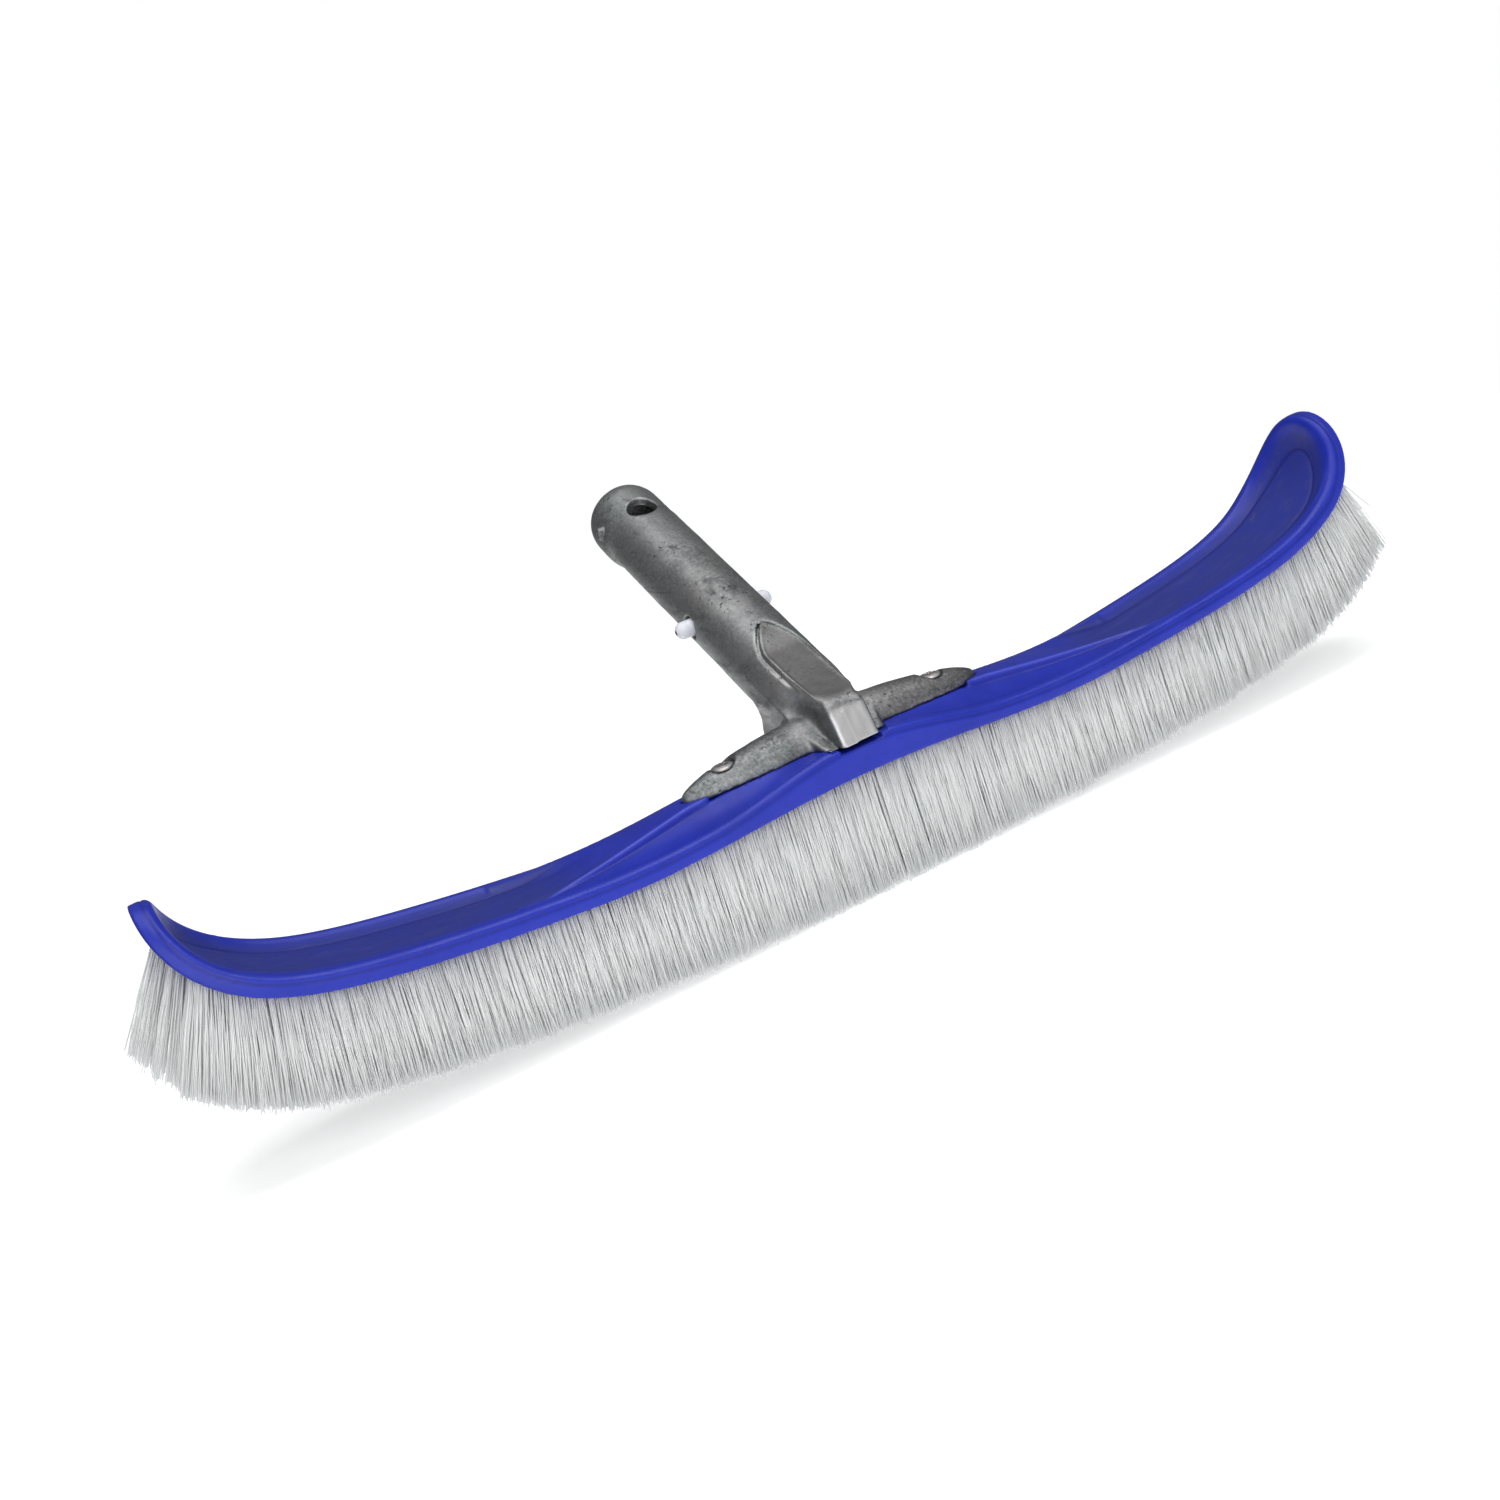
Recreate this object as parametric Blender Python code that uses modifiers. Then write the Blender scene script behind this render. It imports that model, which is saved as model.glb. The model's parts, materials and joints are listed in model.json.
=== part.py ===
"""Pool wall brush, 18 inch: a curved plastic back with five rows of nylon tufts, a cast
aluminium handle screwed to it, and a nylon snap clip inside the handle's tube.

Metres, +Z up. The brush stands on its bristles: z = 0 is the bristle tips at mid-length,
+X runs along the back, and the handle leans away towards +Y. The origin is the middle of
the brush's footprint box.
"""

import math

import bmesh
import bpy
from mathutils import Matrix, Vector

MM = 0.001
GAP = 0.3 * MM               # clearance kept between neighbouring pieces
CLEAR = 6 * MM               # how far a cutter reaches past the face it starts from

# The origin, seen from the middle of the back's underside
BACK_Y = -57.87 * MM         # the back's centre line
BACK_Z = 33.5 * MM           # the back's underside at mid-length, without its arch

# Back: a strip that follows a curve, nearly flat in the middle and curling up at the ends
HALF_ARC = 242.0 * MM        # half of the strip's length along the curve
K_MIDDLE = 0.839             # curvature in the middle, 1/m
K_END = 29.0                 # curvature at the curled ends, 1/m
BEND_AT = 192.9 * MM         # where the curvature is halfway between the two
BEND_LENGTH = 13.4 * MM      # how gradually the one becomes the other
ARCH = 6.5 * MM              # the underside arches up this much at mid-length
ARCH_REACH = 97 * MM         # and is back on the curve this far out
HALF_WIDTH_MIDDLE = 20.0 * MM
HALF_WIDTH_END = 24.4 * MM
WIDEN_FROM = 30 * MM         # the width grows between these
WIDEN_TO = 180 * MM
END_ROUND = 39 * MM          # length of each rounded end, half an ellipse
END_CUT = 0.985              # share of that length where the end is cut square
RIM_HEIGHT = 6.1 * MM        # rim above the underside, along the dishes
RIM_HEIGHT_MIDDLE = 11.7 * MM
RIM_RISE_REACH = 58 * MM     # the rim rises to its middle height over this distance
RIM_CREST = 3.0 * MM         # the rim's crest, in from the outline
RIM_ROUND = 0.9 * MM
RIM_FOOT = 9.5 * MM          # the dish floor starts this far in
DISH_FLOOR = 3.2 * MM        # floor above the underside

# Spine: the raised middle that carries the handle, and splits into two ridges
SEAT_MIDDLE = 17.0 * MM      # underside of the handle's foot, in the back's frame
SEAT_DROP = 2.0 * MM         # lower by this at the wing tips
LIP = 0.8 * MM               # the spine stands this far above the foot's underside
WING_TIP = 57.0 * MM
RIDGE_AT_TIP = 5.5 * MM      # half distance between the ridges beyond the wing tip
RIDGE_END = 100 * MM         # where the ridges run into the rim
RIDGE_HEIGHT = 12.5 * MM     # above the underside, at the wing tip
DISH_START = 84 * MM         # the spine's top falls to the dish floor between these
DISH_FULL = 108 * MM

# Bristles
ROWS = (-0.72, -0.36, 0.0, 0.36, 0.72)   # row centre lines, as a share of the half width
ROW_STRAIGHT_FROM = 225 * MM # beyond this the rows no longer draw in with the back
TUFT_PITCH = 10.6 * MM
TUFT_WIDTH = 5.6 * MM        # across the brush
TUFT_ROOT = 6.0 * MM         # along the brush, at the back
TUFT_TIP = 8.8 * MM
WEB = 3.0 * MM               # root web that joins the tufts of one strip
BRISTLE_LENGTH = 33.2 * MM   # beyond the arch, which adds its own height
FAN = 0.45                   # tufts lean by this share of the back's slope
LAST_TUFTS = (20, 20.5, 21, 20.5, 20)    # each row's last tuft, counted from the middle
ZONES = ((5, "middle"), (13, "side"), (18, "bend"), (22, "end"))   # last tuft of each strip

# Handle: the tube's axis passes above the back's middle and leans towards +Y
AXIS_LEAN = math.radians(61.4)   # from +Z towards +Y
AXIS_Y = -2.0 * MM
AXIS_Z = 21.7 * MM
TUBE_R = 14.0 * MM           # 28 mm tube
BORE_R = 10.9 * MM
TUBE_FROM = 16 * MM          # distances along the axis
TUBE_OVERLAP = 3 * MM        # the neck reaches this far up the tube
BORE_FROM = 27 * MM
NOSE_CENTRE = 146 * MM
NOSE_FLAT_R = 2.5 * MM       # small flat on the nose's tip
SLOT_HALF = 7.5 * MM         # open slot on the tube's underside
SLOT_FROM = 36 * MM
SLOT_TO = 143 * MM
END_HOLE_AT = 132.5 * MM     # in the upper wall only
END_HOLE_R = 5.7 * MM

# Handle foot: two leaf-shaped wings, a neck and a front tab
WING_CUT = 55.7 * MM
WING_HALF_WIDTH = 10.2 * MM
WING_CREST = 27.0 * MM       # crest height in the back's frame
WING_CREST_FALL = 2.08       # crest lower by this times x squared, 1/m
WING_EDGE = 0.9 * MM         # height of the wing's rim
NECK_HALF = 12.5 * MM
NECK_BACK = 24.0 * MM
NECK_CHAMFER = 3 * MM
NECK_REAR = (24.5 * MM, 30.5 * MM)       # its rear edge under the tube, y and z
NECK_RING_R = 13.6 * MM
TAB_FOOT_Y = -17 * MM
TAB_HALF = 7.0 * MM
# The tab's side view, y and z in mm: a rib with a flat top that runs on from the tube
TAB_OUTLINE = ((28.3, 54.1), (-16.0, 31.5), (-20.8, 17.6), (4.0, 17.5), (16.0, 34.0))
SCREW_X = 40 * MM
SCREW_SEAT = 21.2 * MM
SCREW_SEAT_R = 4.6 * MM
SCREW_HEAD_R = 3.9 * MM
SCREW_HEAD = 1.7 * MM
SCREW_SHANK_R = 2.0 * MM
SCREW_TIP_Z = 8.6 * MM
CROSS_DEPTH = 1.1 * MM
CROSS_HALF = (0.55 * MM, 2.1 * MM)

# Snap clip
BUTTON_AT = 71.8 * MM
BUTTON_R = 3.15 * MM
BUTTON_TIP = 19.4 * MM       # from the tube's axis
BUTTON_HOLE_R = 4.1 * MM
ARM_X = 8.0 * MM
ARM_THICK = 2.0 * MM
ARM_HALF_HEIGHT = 4.5 * MM
HINGE_AT = 38.6 * MM
ARM_END = 77.5 * MM

BODY_COLLECTION = "pool_wall_brush"
CUTTER_COLLECTION = "cutters"
CURVE_STEPS = 960            # steps of the curve's integration
NECK_SEGMENTS = 20
DOME_STEPS = 7


def smooth(value):
    """Smoothstep from 0 to 1."""
    value = min(max(value, 0.0), 1.0)
    return value * value * (3 - 2 * value)


# ---------------------------------------------------------------- the back's curve

def make_curve():
    """Points (x, z, slope) along the right half of the back's curve, without the arch."""
    step = HALF_ARC / CURVE_STEPS
    points = [(0.0, 0.0, 0.0)]
    x = z = slope = 0.0
    for i in range(CURVE_STEPS):
        middle = (i + 0.5) * step
        share = 1 / (1 + math.exp(-(middle - BEND_AT) / BEND_LENGTH))
        turn = (K_MIDDLE + (K_END - K_MIDDLE) * share) * step
        x += math.cos(slope + turn / 2) * step
        z += math.sin(slope + turn / 2) * step
        slope += turn
        points.append((x, z, slope))
    return points


CURVE = make_curve()


def curve_at(s):
    """(x, z, slope) of the plain curve at signed arc length s."""
    place = min(abs(s) / HALF_ARC, 1.0) * CURVE_STEPS
    i = min(int(place), CURVE_STEPS - 1)
    t = place - i
    x, z, slope = (a + (b - a) * t for a, b in zip(CURVE[i], CURVE[i + 1]))
    return (x, z, slope) if s >= 0 else (-x, z, -slope)


def arch_at(s):
    if abs(s) >= ARCH_REACH:
        return 0.0
    return ARCH * 0.5 * (1 + math.cos(math.pi * s / ARCH_REACH))


def on_back(s, y, height):
    """Point of the back's frame at arc length s, across y and height above the underside."""
    x, z, slope = curve_at(s)
    return Vector((
        x - height * math.sin(slope),
        y,
        z + arch_at(s) + height * math.cos(slope),
    ))


def end_share(s):
    """0 before the rounded end, growing to 1 at its far end."""
    return max(0.0, (abs(s) - (HALF_ARC - END_ROUND)) / END_ROUND)


def full_half_width(s):
    """Half width of the strip, as if its ends were not rounded."""
    grow = smooth((abs(s) - WIDEN_FROM) / (WIDEN_TO - WIDEN_FROM))
    return HALF_WIDTH_MIDDLE + (HALF_WIDTH_END - HALF_WIDTH_MIDDLE) * grow


def half_width(s):
    return full_half_width(s) * math.sqrt(1 - min(end_share(s), END_CUT) ** 2)


def inset(s, y):
    """Distance in from the back's outline, in plan."""
    width = full_half_width(s)
    a, b = end_share(s), abs(y) / width
    if a == 0:
        return width - abs(y)
    f = math.hypot(a, b)
    gradient = math.hypot(a / END_ROUND, b / width) / f
    return max(0.0, min((1 - f) / gradient, (END_CUT - a) * END_ROUND))


# ---------------------------------------------------------------- heights of the back

def wing_half_width(x):
    share = min(abs(x) / WING_TIP, 1.0)
    return WING_HALF_WIDTH * (1 - share ** 2.6) ** 0.62


def seat_height(x):
    """Underside of the handle's foot, in the back's frame."""
    return SEAT_MIDDLE - SEAT_DROP * (x / WING_TIP) ** 2


def rim_height(s):
    rise = 1 - smooth(abs(s) / RIM_RISE_REACH)
    return RIM_HEIGHT + (RIM_HEIGHT_MIDDLE - RIM_HEIGHT) * rise


def ridge_offset(s):
    """Half distance between the two ridges."""
    out = (abs(s) - WING_TIP) / (RIDGE_END - WING_TIP)
    edge = full_half_width(s) - RIM_CREST - 1.5 * MM
    if out <= 0:
        return max(wing_half_width(s) + 0.8 * MM, RIDGE_AT_TIP)
    return min(RIDGE_AT_TIP + (edge - RIDGE_AT_TIP) * out, edge)


def ridge_height(s):
    """Ridge height above the underside."""
    if abs(s) < WING_TIP:
        x, z, _ = curve_at(s)
        return seat_height(x) + LIP - z - arch_at(s)
    out = min((abs(s) - WING_TIP) / (RIDGE_END - WING_TIP), 1.0)
    return RIDGE_HEIGHT + (RIM_HEIGHT - RIDGE_HEIGHT) * out


def back_height(s, y):
    """Height of the back's top above its underside."""
    d = inset(s, y)
    rim = rim_height(s)
    wall = rim - 3 * MM
    if d < RIM_CREST:
        return wall + (rim - wall) * math.sqrt(1 - (1 - d / RIM_CREST) ** 2)
    dish = rim + (DISH_FLOOR - rim) * smooth((d - RIM_CREST) / (RIM_FOOT - RIM_CREST))
    if abs(s) >= DISH_FULL:
        return dish
    ridge, offset = ridge_height(s), ridge_offset(s)
    if abs(y) > offset:
        span = full_half_width(s) - RIM_CREST - offset
        t = (abs(y) - offset) / max(span, 0.5 * MM)
        return rim + max(ridge - rim, 0.0) * (1 - min(t, 1.0)) ** 1.5
    top = ridge + 0.5 * MM * (1 - (y / offset) ** 2) * smooth((abs(s) - WING_TIP) / (8 * MM))
    blend = smooth((abs(s) - DISH_START) / (DISH_FULL - DISH_START))
    return top + (min(dish, top) - top) * blend


# ---------------------------------------------------------------- helpers

def new_collection(name):
    collection = bpy.data.collections.new(name)
    bpy.context.scene.collection.children.link(collection)
    return collection


def material(name, colour, roughness, metallic=0.0):
    made = bpy.data.materials.new(name)
    made.use_nodes = True
    shader = made.node_tree.nodes["Principled BSDF"]
    shader.inputs["Base Color"].default_value = (*colour, 1)
    shader.inputs["Roughness"].default_value = roughness
    shader.inputs["Metallic"].default_value = metallic
    return made


def put(name, mesh, collection, parent=None, finish=None):
    thing = bpy.data.objects.new(name, mesh)
    collection.objects.link(thing)
    if parent is not None:
        thing.parent = parent
    if finish is not None:
        mesh.materials.append(finish)
    if collection.name == CUTTER_COLLECTION:
        thing.hide_render = True
        thing.display_type = "WIRE"
    return thing


def mesh_from(bm, name, smooth_angle=None):
    bmesh.ops.recalc_face_normals(bm, faces=bm.faces)
    mesh = bpy.data.meshes.new(name)
    bm.to_mesh(mesh)
    bm.free()
    if smooth_angle is not None:
        mesh.shade_smooth()
        mesh.set_sharp_from_angle(angle=math.radians(smooth_angle))
    return mesh


def loft(name, rings, smooth_angle=None):
    """Closed body through rings of equal point counts, capped at both ends."""
    bm = bmesh.new()
    lines = [[bm.verts.new(point) for point in ring] for ring in rings]
    count = len(lines[0])
    for ring, following in zip(lines, lines[1:]):
        for i in range(count):
            j = (i + 1) % count
            bm.faces.new((ring[i], ring[j], following[j], following[i]))
    bm.faces.new(lines[0])
    bm.faces.new(lines[-1])
    return mesh_from(bm, name, smooth_angle)


def boolean(thing, cutter, operation):
    step = thing.modifiers.new(f"{operation.lower()}_{cutter.name}", "BOOLEAN")
    step.operation = operation
    step.object = cutter
    step.solver = "EXACT"
    return step


def cylinder(name, radius, depth, matrix, segments=24):
    bm = bmesh.new()
    bmesh.ops.create_cone(
        bm, cap_ends=True, segments=segments, radius1=radius, radius2=radius, depth=depth, matrix=matrix
    )
    return mesh_from(bm, name)


def box(name, low, high):
    bm = bmesh.new()
    size = [b - a for a, b in zip(low, high)]
    centre = Vector([(a + b) / 2 for a, b in zip(low, high)])
    bmesh.ops.create_cube(bm, size=1, matrix=Matrix.Translation(centre) @ Matrix.Diagonal((*size, 1)))
    return mesh_from(bm, name)


def turned(name, profile, collection, parent, finish=None, segments=24):
    """Body of revolution about local Z: profile holds (radius, height), top to bottom."""
    mesh = bpy.data.meshes.new(name)
    mesh.from_pydata([(r, 0, z) for r, z in profile], [(i, i + 1) for i in range(len(profile) - 1)], [])
    thing = put(name, mesh, collection, parent, finish)
    screw = thing.modifiers.new("turn", "SCREW")
    screw.steps = segments
    screw.render_steps = segments
    screw.use_merge_vertices = True
    screw.merge_threshold = 0.00001
    return thing


def outline_plate(name, points, thickness, along):
    """Flat plate: an outline in a plane, extruded by the vector along on both sides."""
    bm = bmesh.new()
    face = bm.faces.new([bm.verts.new(Vector(point) - along * thickness / 2) for point in points])
    made = bmesh.ops.extrude_face_region(bm, geom=[face])
    moved = [v for v in made["geom"] if isinstance(v, bmesh.types.BMVert)]
    bmesh.ops.translate(bm, verts=moved, vec=along * thickness)
    return mesh_from(bm, name)


# ---------------------------------------------------------------- scene

for old in list(bpy.data.objects):
    bpy.data.objects.remove(old, do_unlink=True)

parts = new_collection(BODY_COLLECTION)
cutters = new_collection(CUTTER_COLLECTION)

back_frame = bpy.data.objects.new("back_frame", None)
back_frame.location = (0, BACK_Y, BACK_Z)
parts.objects.link(back_frame)

# Local Y runs along the tube, local Z points out of its upper side
tube_frame = bpy.data.objects.new("tube_frame", None)
tube_frame.parent = back_frame
tube_frame.location = (0, AXIS_Y, AXIS_Z)
tube_frame.rotation_euler = (math.pi / 2 - AXIS_LEAN, 0, 0)
parts.objects.link(tube_frame)

TUBE_MATRIX = Matrix.Translation((0, AXIS_Y, AXIS_Z)) @ Matrix.Rotation(math.pi / 2 - AXIS_LEAN, 4, "X")
ACROSS_TUBE = Matrix.Rotation(math.pi / 2, 4, "Y")    # turns local Z to X


def in_tube(x, along, up):
    """Point of the tube's frame, in the back's frame."""
    return TUBE_MATRIX @ Vector((x, along, up))


# ---------------------------------------------------------------- back

def back_lines(s):
    """Offsets across the back where its cross-section has points, from the edge inwards."""
    width = half_width(s)
    crest = width - RIM_CREST
    ridge = min(ridge_offset(s), crest - 1.0 * MM)
    flank = crest - ridge
    return (
        width,
        width - RIM_ROUND,
        crest,
        ridge + flank * 0.55,
        ridge + flank * 0.2,
        ridge,
        ridge * 0.86,
        ridge * 0.72,
        ridge * 0.40,
    )


def back_ring(s):
    lines = back_lines(s)
    width = lines[0]
    ring = [on_back(s, -width, 0)]
    ring += [on_back(s, -y, back_height(s, -y)) for y in lines]
    ring += [on_back(s, 0, back_height(s, 0))]
    ring += [on_back(s, y, back_height(s, y)) for y in reversed(lines)]
    ring += [on_back(s, width, 0)]
    return ring


def back_stations():
    last = HALF_ARC - END_ROUND * (1 - END_CUT)
    ends = [last - d * MM for d in (0, 0.7, 2.2, 4.6, 7.8, 11.8, 16.5, 22.0)]
    middle = [i * 8 * MM for i in range(1, 22)]
    bend = [(174 + 8 * i) * MM for i in range(6)]
    right = sorted([s for s in middle if s < 0.172] + [s for s in bend if s < ends[-1] - 0.003] + ends)
    return [-s for s in reversed(right)] + [0.0] + right


BLUE = material("back_blue", (0.02, 0.03, 0.42), 0.35)
ALUMINIUM = material("cast_aluminium", (0.55, 0.55, 0.53), 0.45, 1.0)
NYLON = material("bristle_nylon", (0.78, 0.79, 0.77), 0.5)
CLIP_NYLON = material("clip_nylon", (0.85, 0.86, 0.86), 0.4)
STEEL = material("screw_steel", (0.62, 0.61, 0.58), 0.35, 1.0)

back = put("back", loft("back", [back_ring(s) for s in back_stations()], 40), parts, back_frame, BLUE)


# ---------------------------------------------------------------- handle foot

def wing_ring(x, grow=0.0, drop=0.0, top=None):
    """Cross-section of the wings at x; grow, drop and top make the pocket's cutter from it."""
    width = wing_half_width(min(abs(x), WING_CUT)) + grow
    low = seat_height(x) - drop
    edge = low + WING_EDGE
    tip = math.sqrt(1 - (min(abs(x), WING_CUT) / WING_TIP) ** 20)
    rise = (WING_CREST - WING_CREST_FALL * x * x - edge) * tip
    ring = [Vector((x, -width, low))]
    for share in (-1.0, -0.92, -0.72, -0.4, 0.0, 0.4, 0.72, 0.92, 1.0):
        z = edge + rise * (1 - share * share) ** 0.6
        ring.append(Vector((x, share * width, z if top is None else top)))
    ring.append(Vector((x, width, low)))
    return ring


wing_right = [x * MM for x in (10, 20, 28, 34, 40, 45, 49, 52, 54.2)] + [WING_CUT]
wing_x = [-x for x in reversed(wing_right)] + [0.0] + wing_right
wings = loft("handle_casting", [wing_ring(x) for x in wing_x], 40)
handle = put("handle_casting", wings, parts, back_frame, ALUMINIUM)


def neck_mesh(name, grow=0.0):
    """Hull between the tube's lower end and the neck's footprint."""
    floor = SEAT_MIDDLE + GAP - grow
    half, tab, rear = NECK_HALF + grow, TAB_HALF + grow, NECK_BACK + grow
    points = []
    for side in (-1, 1):
        points += [Vector((side * half, y, floor)) for y in (NECK_CHAMFER, rear - NECK_CHAMFER)]
        points.append(Vector((side * (half - NECK_CHAMFER), rear, floor)))
        points.append(Vector((side * tab, TAB_FOOT_Y, floor)))
        points.append(Vector((side * half, *NECK_REAR)))
    for along in (TUBE_FROM, TUBE_FROM + TUBE_OVERLAP):
        for i in range(NECK_SEGMENTS):
            angle = 2 * math.pi * i / NECK_SEGMENTS
            points.append(in_tube(NECK_RING_R * math.cos(angle), along, NECK_RING_R * math.sin(angle)))
    bm = bmesh.new()
    verts = [bm.verts.new(point) for point in points]
    hull = bmesh.ops.convex_hull(bm, input=verts)
    loose = [v for v in hull["geom_interior"] + hull["geom_unused"] if isinstance(v, bmesh.types.BMVert)]
    bmesh.ops.delete(bm, geom=list(set(loose)), context="VERTS")
    return mesh_from(bm, name)


neck = put("neck", neck_mesh("neck"), cutters, back_frame)

tab_points = [(0, y * MM, z * MM) for y, z in TAB_OUTLINE]
tab = put("tab", outline_plate("tab", tab_points, 2 * TAB_HALF, Vector((1, 0, 0))), cutters, back_frame)


def nose_profile(radius, centre, flat, start):
    """Turned profile of a tube with a domed end, as (radius, distance along the axis)."""
    first = math.asin(flat / radius)
    dome = []
    for i in range(DOME_STEPS + 1):
        angle = first + (math.pi / 2 - first) * i / DOME_STEPS
        dome.append((radius * math.sin(angle), centre + radius * math.cos(angle)))
    return [(0, dome[0][1])] + dome + [(radius, start), (0, start)]


outside = nose_profile(TUBE_R, NOSE_CENTRE, NOSE_FLAT_R, TUBE_FROM)
tube = turned("tube", outside, cutters, tube_frame, segments=28)
tube.rotation_euler = (-math.pi / 2, 0, 0)
inside = nose_profile(BORE_R, NOSE_CENTRE, NOSE_FLAT_R * 0.6, BORE_FROM)
bore = turned("bore", inside, cutters, tube_frame)
bore.rotation_euler = (-math.pi / 2, 0, 0)

slot_low = (-SLOT_HALF, SLOT_FROM, -TUBE_R - CLEAR)
slot = put("slot", box("slot", slot_low, (SLOT_HALF, SLOT_TO, 0)), cutters, tube_frame)
hole_height = TUBE_R + CLEAR
hole_place = Matrix.Translation((0, END_HOLE_AT, hole_height / 2))
end_hole = cylinder("end_hole", END_HOLE_R, hole_height, hole_place)
end_hole = put("end_hole", end_hole, cutters, tube_frame)
across = Matrix.Translation((0, BUTTON_AT, 0)) @ ACROSS_TUBE
button_holes = cylinder("button_holes", BUTTON_HOLE_R, 2 * (TUBE_R + CLEAR), across)
button_holes = put("button_holes", button_holes, cutters, tube_frame)

for piece in (neck, tab, tube):
    boolean(handle, piece, "UNION")
for cutter in (bore, slot, end_hole, button_holes):
    boolean(handle, cutter, "DIFFERENCE")

# Screw seats and holes, and the pocket in the back under the foot
for side, label in ((-1, "left"), (1, "right")):
    depth = 12 * MM
    place = Matrix.Translation((side * SCREW_X, 0, SCREW_SEAT + depth / 2))
    seat = cylinder(f"seat_{label}", SCREW_SEAT_R, depth, place)
    boolean(handle, put(f"seat_{label}", seat, cutters, back_frame), "DIFFERENCE")
    depth = 30 * MM
    place = Matrix.Translation((side * SCREW_X, 0, SCREW_TIP_Z - 0.5 * MM + depth / 2))
    hole = cylinder(f"hole_{label}", SCREW_SHANK_R + GAP, depth, place, segments=16)
    hole = put(f"hole_{label}", hole, cutters, back_frame)
    boolean(handle, hole, "DIFFERENCE")
    boolean(back, hole, "DIFFERENCE")

POCKET_TOP = 45 * MM
POCKET_GAP = GAP * 1.2       # measured across, so that slanted faces keep the clearance too
pocket_x = [-WING_TIP] + wing_x[1:-1] + [WING_TIP]
pocket_rings = [wing_ring(x, POCKET_GAP, GAP, POCKET_TOP) for x in pocket_x]
pocket = put("pocket", loft("pocket", pocket_rings), cutters, back_frame)
boolean(back, pocket, "DIFFERENCE")
notch_low = (-TAB_HALF - GAP, -30 * MM, SEAT_MIDDLE)
notch = put("notch", box("notch", notch_low, (TAB_HALF + GAP, 0, POCKET_TOP)), cutters, back_frame)
boolean(back, notch, "DIFFERENCE")
neck_room = put("neck_room", neck_mesh("neck_room", POCKET_GAP), cutters, back_frame)
boolean(back, neck_room, "DIFFERENCE")


# ---------------------------------------------------------------- screws

def make_screw(label, side):
    under = SCREW_SEAT + GAP
    top = under + SCREW_HEAD
    profile = [
        (0, top),
        (SCREW_HEAD_R * 0.55, top),
        (SCREW_HEAD_R * 0.88, top - 0.35 * MM),
        (SCREW_HEAD_R, top - 0.9 * MM),
        (SCREW_HEAD_R, under),
        (SCREW_SHANK_R, under),
        (SCREW_SHANK_R, SCREW_TIP_Z + 2 * MM),
        (0.6 * MM, SCREW_TIP_Z),
        (0, SCREW_TIP_Z),
    ]
    screw = turned(f"screw_{label}", profile, parts, back_frame, STEEL, segments=20)
    screw.location = (side * SCREW_X, 0, 0)
    for turn in (0, 1):
        x, y = CROSS_HALF[turn], CROSS_HALF[1 - turn]
        name = f"cross_{label}_{turn}"
        slit = box(name, (-x, -y, top - CROSS_DEPTH), (x, y, top + CLEAR))
        slit = put(name, slit, cutters, back_frame)
        slit.location = (side * SCREW_X, 0, 0)
        boolean(screw, slit, "DIFFERENCE")


make_screw("left", -1)
make_screw("right", 1)


# ---------------------------------------------------------------- snap clip

def clip_bow():
    """U-shaped spring end: a half ring that ends in two straight prongs."""
    outer, inner = ARM_X + ARM_THICK / 2, ARM_X - ARM_THICK / 2
    centre = HINGE_AT - ARM_THICK / 2 - 2 * GAP
    count = 12
    angles = [math.pi + math.pi * i / count for i in range(count + 1)]
    points = [(outer * math.cos(a), centre + outer * math.sin(a), 0) for a in angles]
    points += [(inner * math.cos(a), centre + inner * math.sin(a), 0) for a in reversed(angles)]
    mesh = outline_plate("clip_bow", points, 2 * ARM_HALF_HEIGHT, Vector((0, 0, 1)))
    return put("clip_bow", mesh, parts, tube_frame, CLIP_NYLON)


def clip_arm(label, side):
    """Springy arm with its button; its origin is on its hinge line."""
    pivot = bpy.data.objects.new(f"hinge_{label}", None)
    pivot.parent = tube_frame
    pivot.location = (side * ARM_X, HINGE_AT, 0)
    parts.objects.link(pivot)
    half = ARM_THICK / 2
    length = ARM_END - HINGE_AT
    points = [(half, length - half, 0), (half * 0.4, length, 0)]
    points += [(-half * 0.4, length, 0), (-half, length - half, 0)]
    count = 6
    for i in range(count + 1):
        angle = math.pi + math.pi * i / count
        points.append((half * math.cos(angle), half * math.sin(angle), 0))
    mesh = outline_plate(f"clip_arm_{label}", points, 2 * ARM_HALF_HEIGHT, Vector((0, 0, 1)))
    arm = put(f"clip_arm_{label}", mesh, parts, pivot, CLIP_NYLON)
    reach = BUTTON_TIP - ARM_X
    profile = [(0, reach)]
    count = 6
    for i in range(1, count + 1):
        angle = math.pi / 2 * i / count
        profile.append((BUTTON_R * math.sin(angle), reach - BUTTON_R * (1 - math.cos(angle))))
    profile += [(BUTTON_R, 0), (0, 0)]
    button = turned(f"button_{label}", profile, cutters, pivot, segments=20)
    button.location = (0, BUTTON_AT - HINGE_AT, 0)
    button.rotation_euler = (0, side * math.pi / 2, 0)
    boolean(arm, button, "UNION")


clip_bow()
clip_arm("left", -1)
clip_arm("right", 1)


# ---------------------------------------------------------------- bristles

def tuft_point(s, along, depth_share):
    """Point of the tuft at s, shifted along the back; depth_share is 0 at its root, 1 at its tip."""
    length = (BRISTLE_LENGTH + arch_at(s + along)) * depth_share
    x, z, slope = curve_at(s + along)
    lean = FAN * slope
    root = Vector((x + GAP * math.sin(slope), 0, z + arch_at(s + along) - GAP * math.cos(slope)))
    return root + Vector((math.sin(lean), 0, -math.cos(lean))) * length


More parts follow.
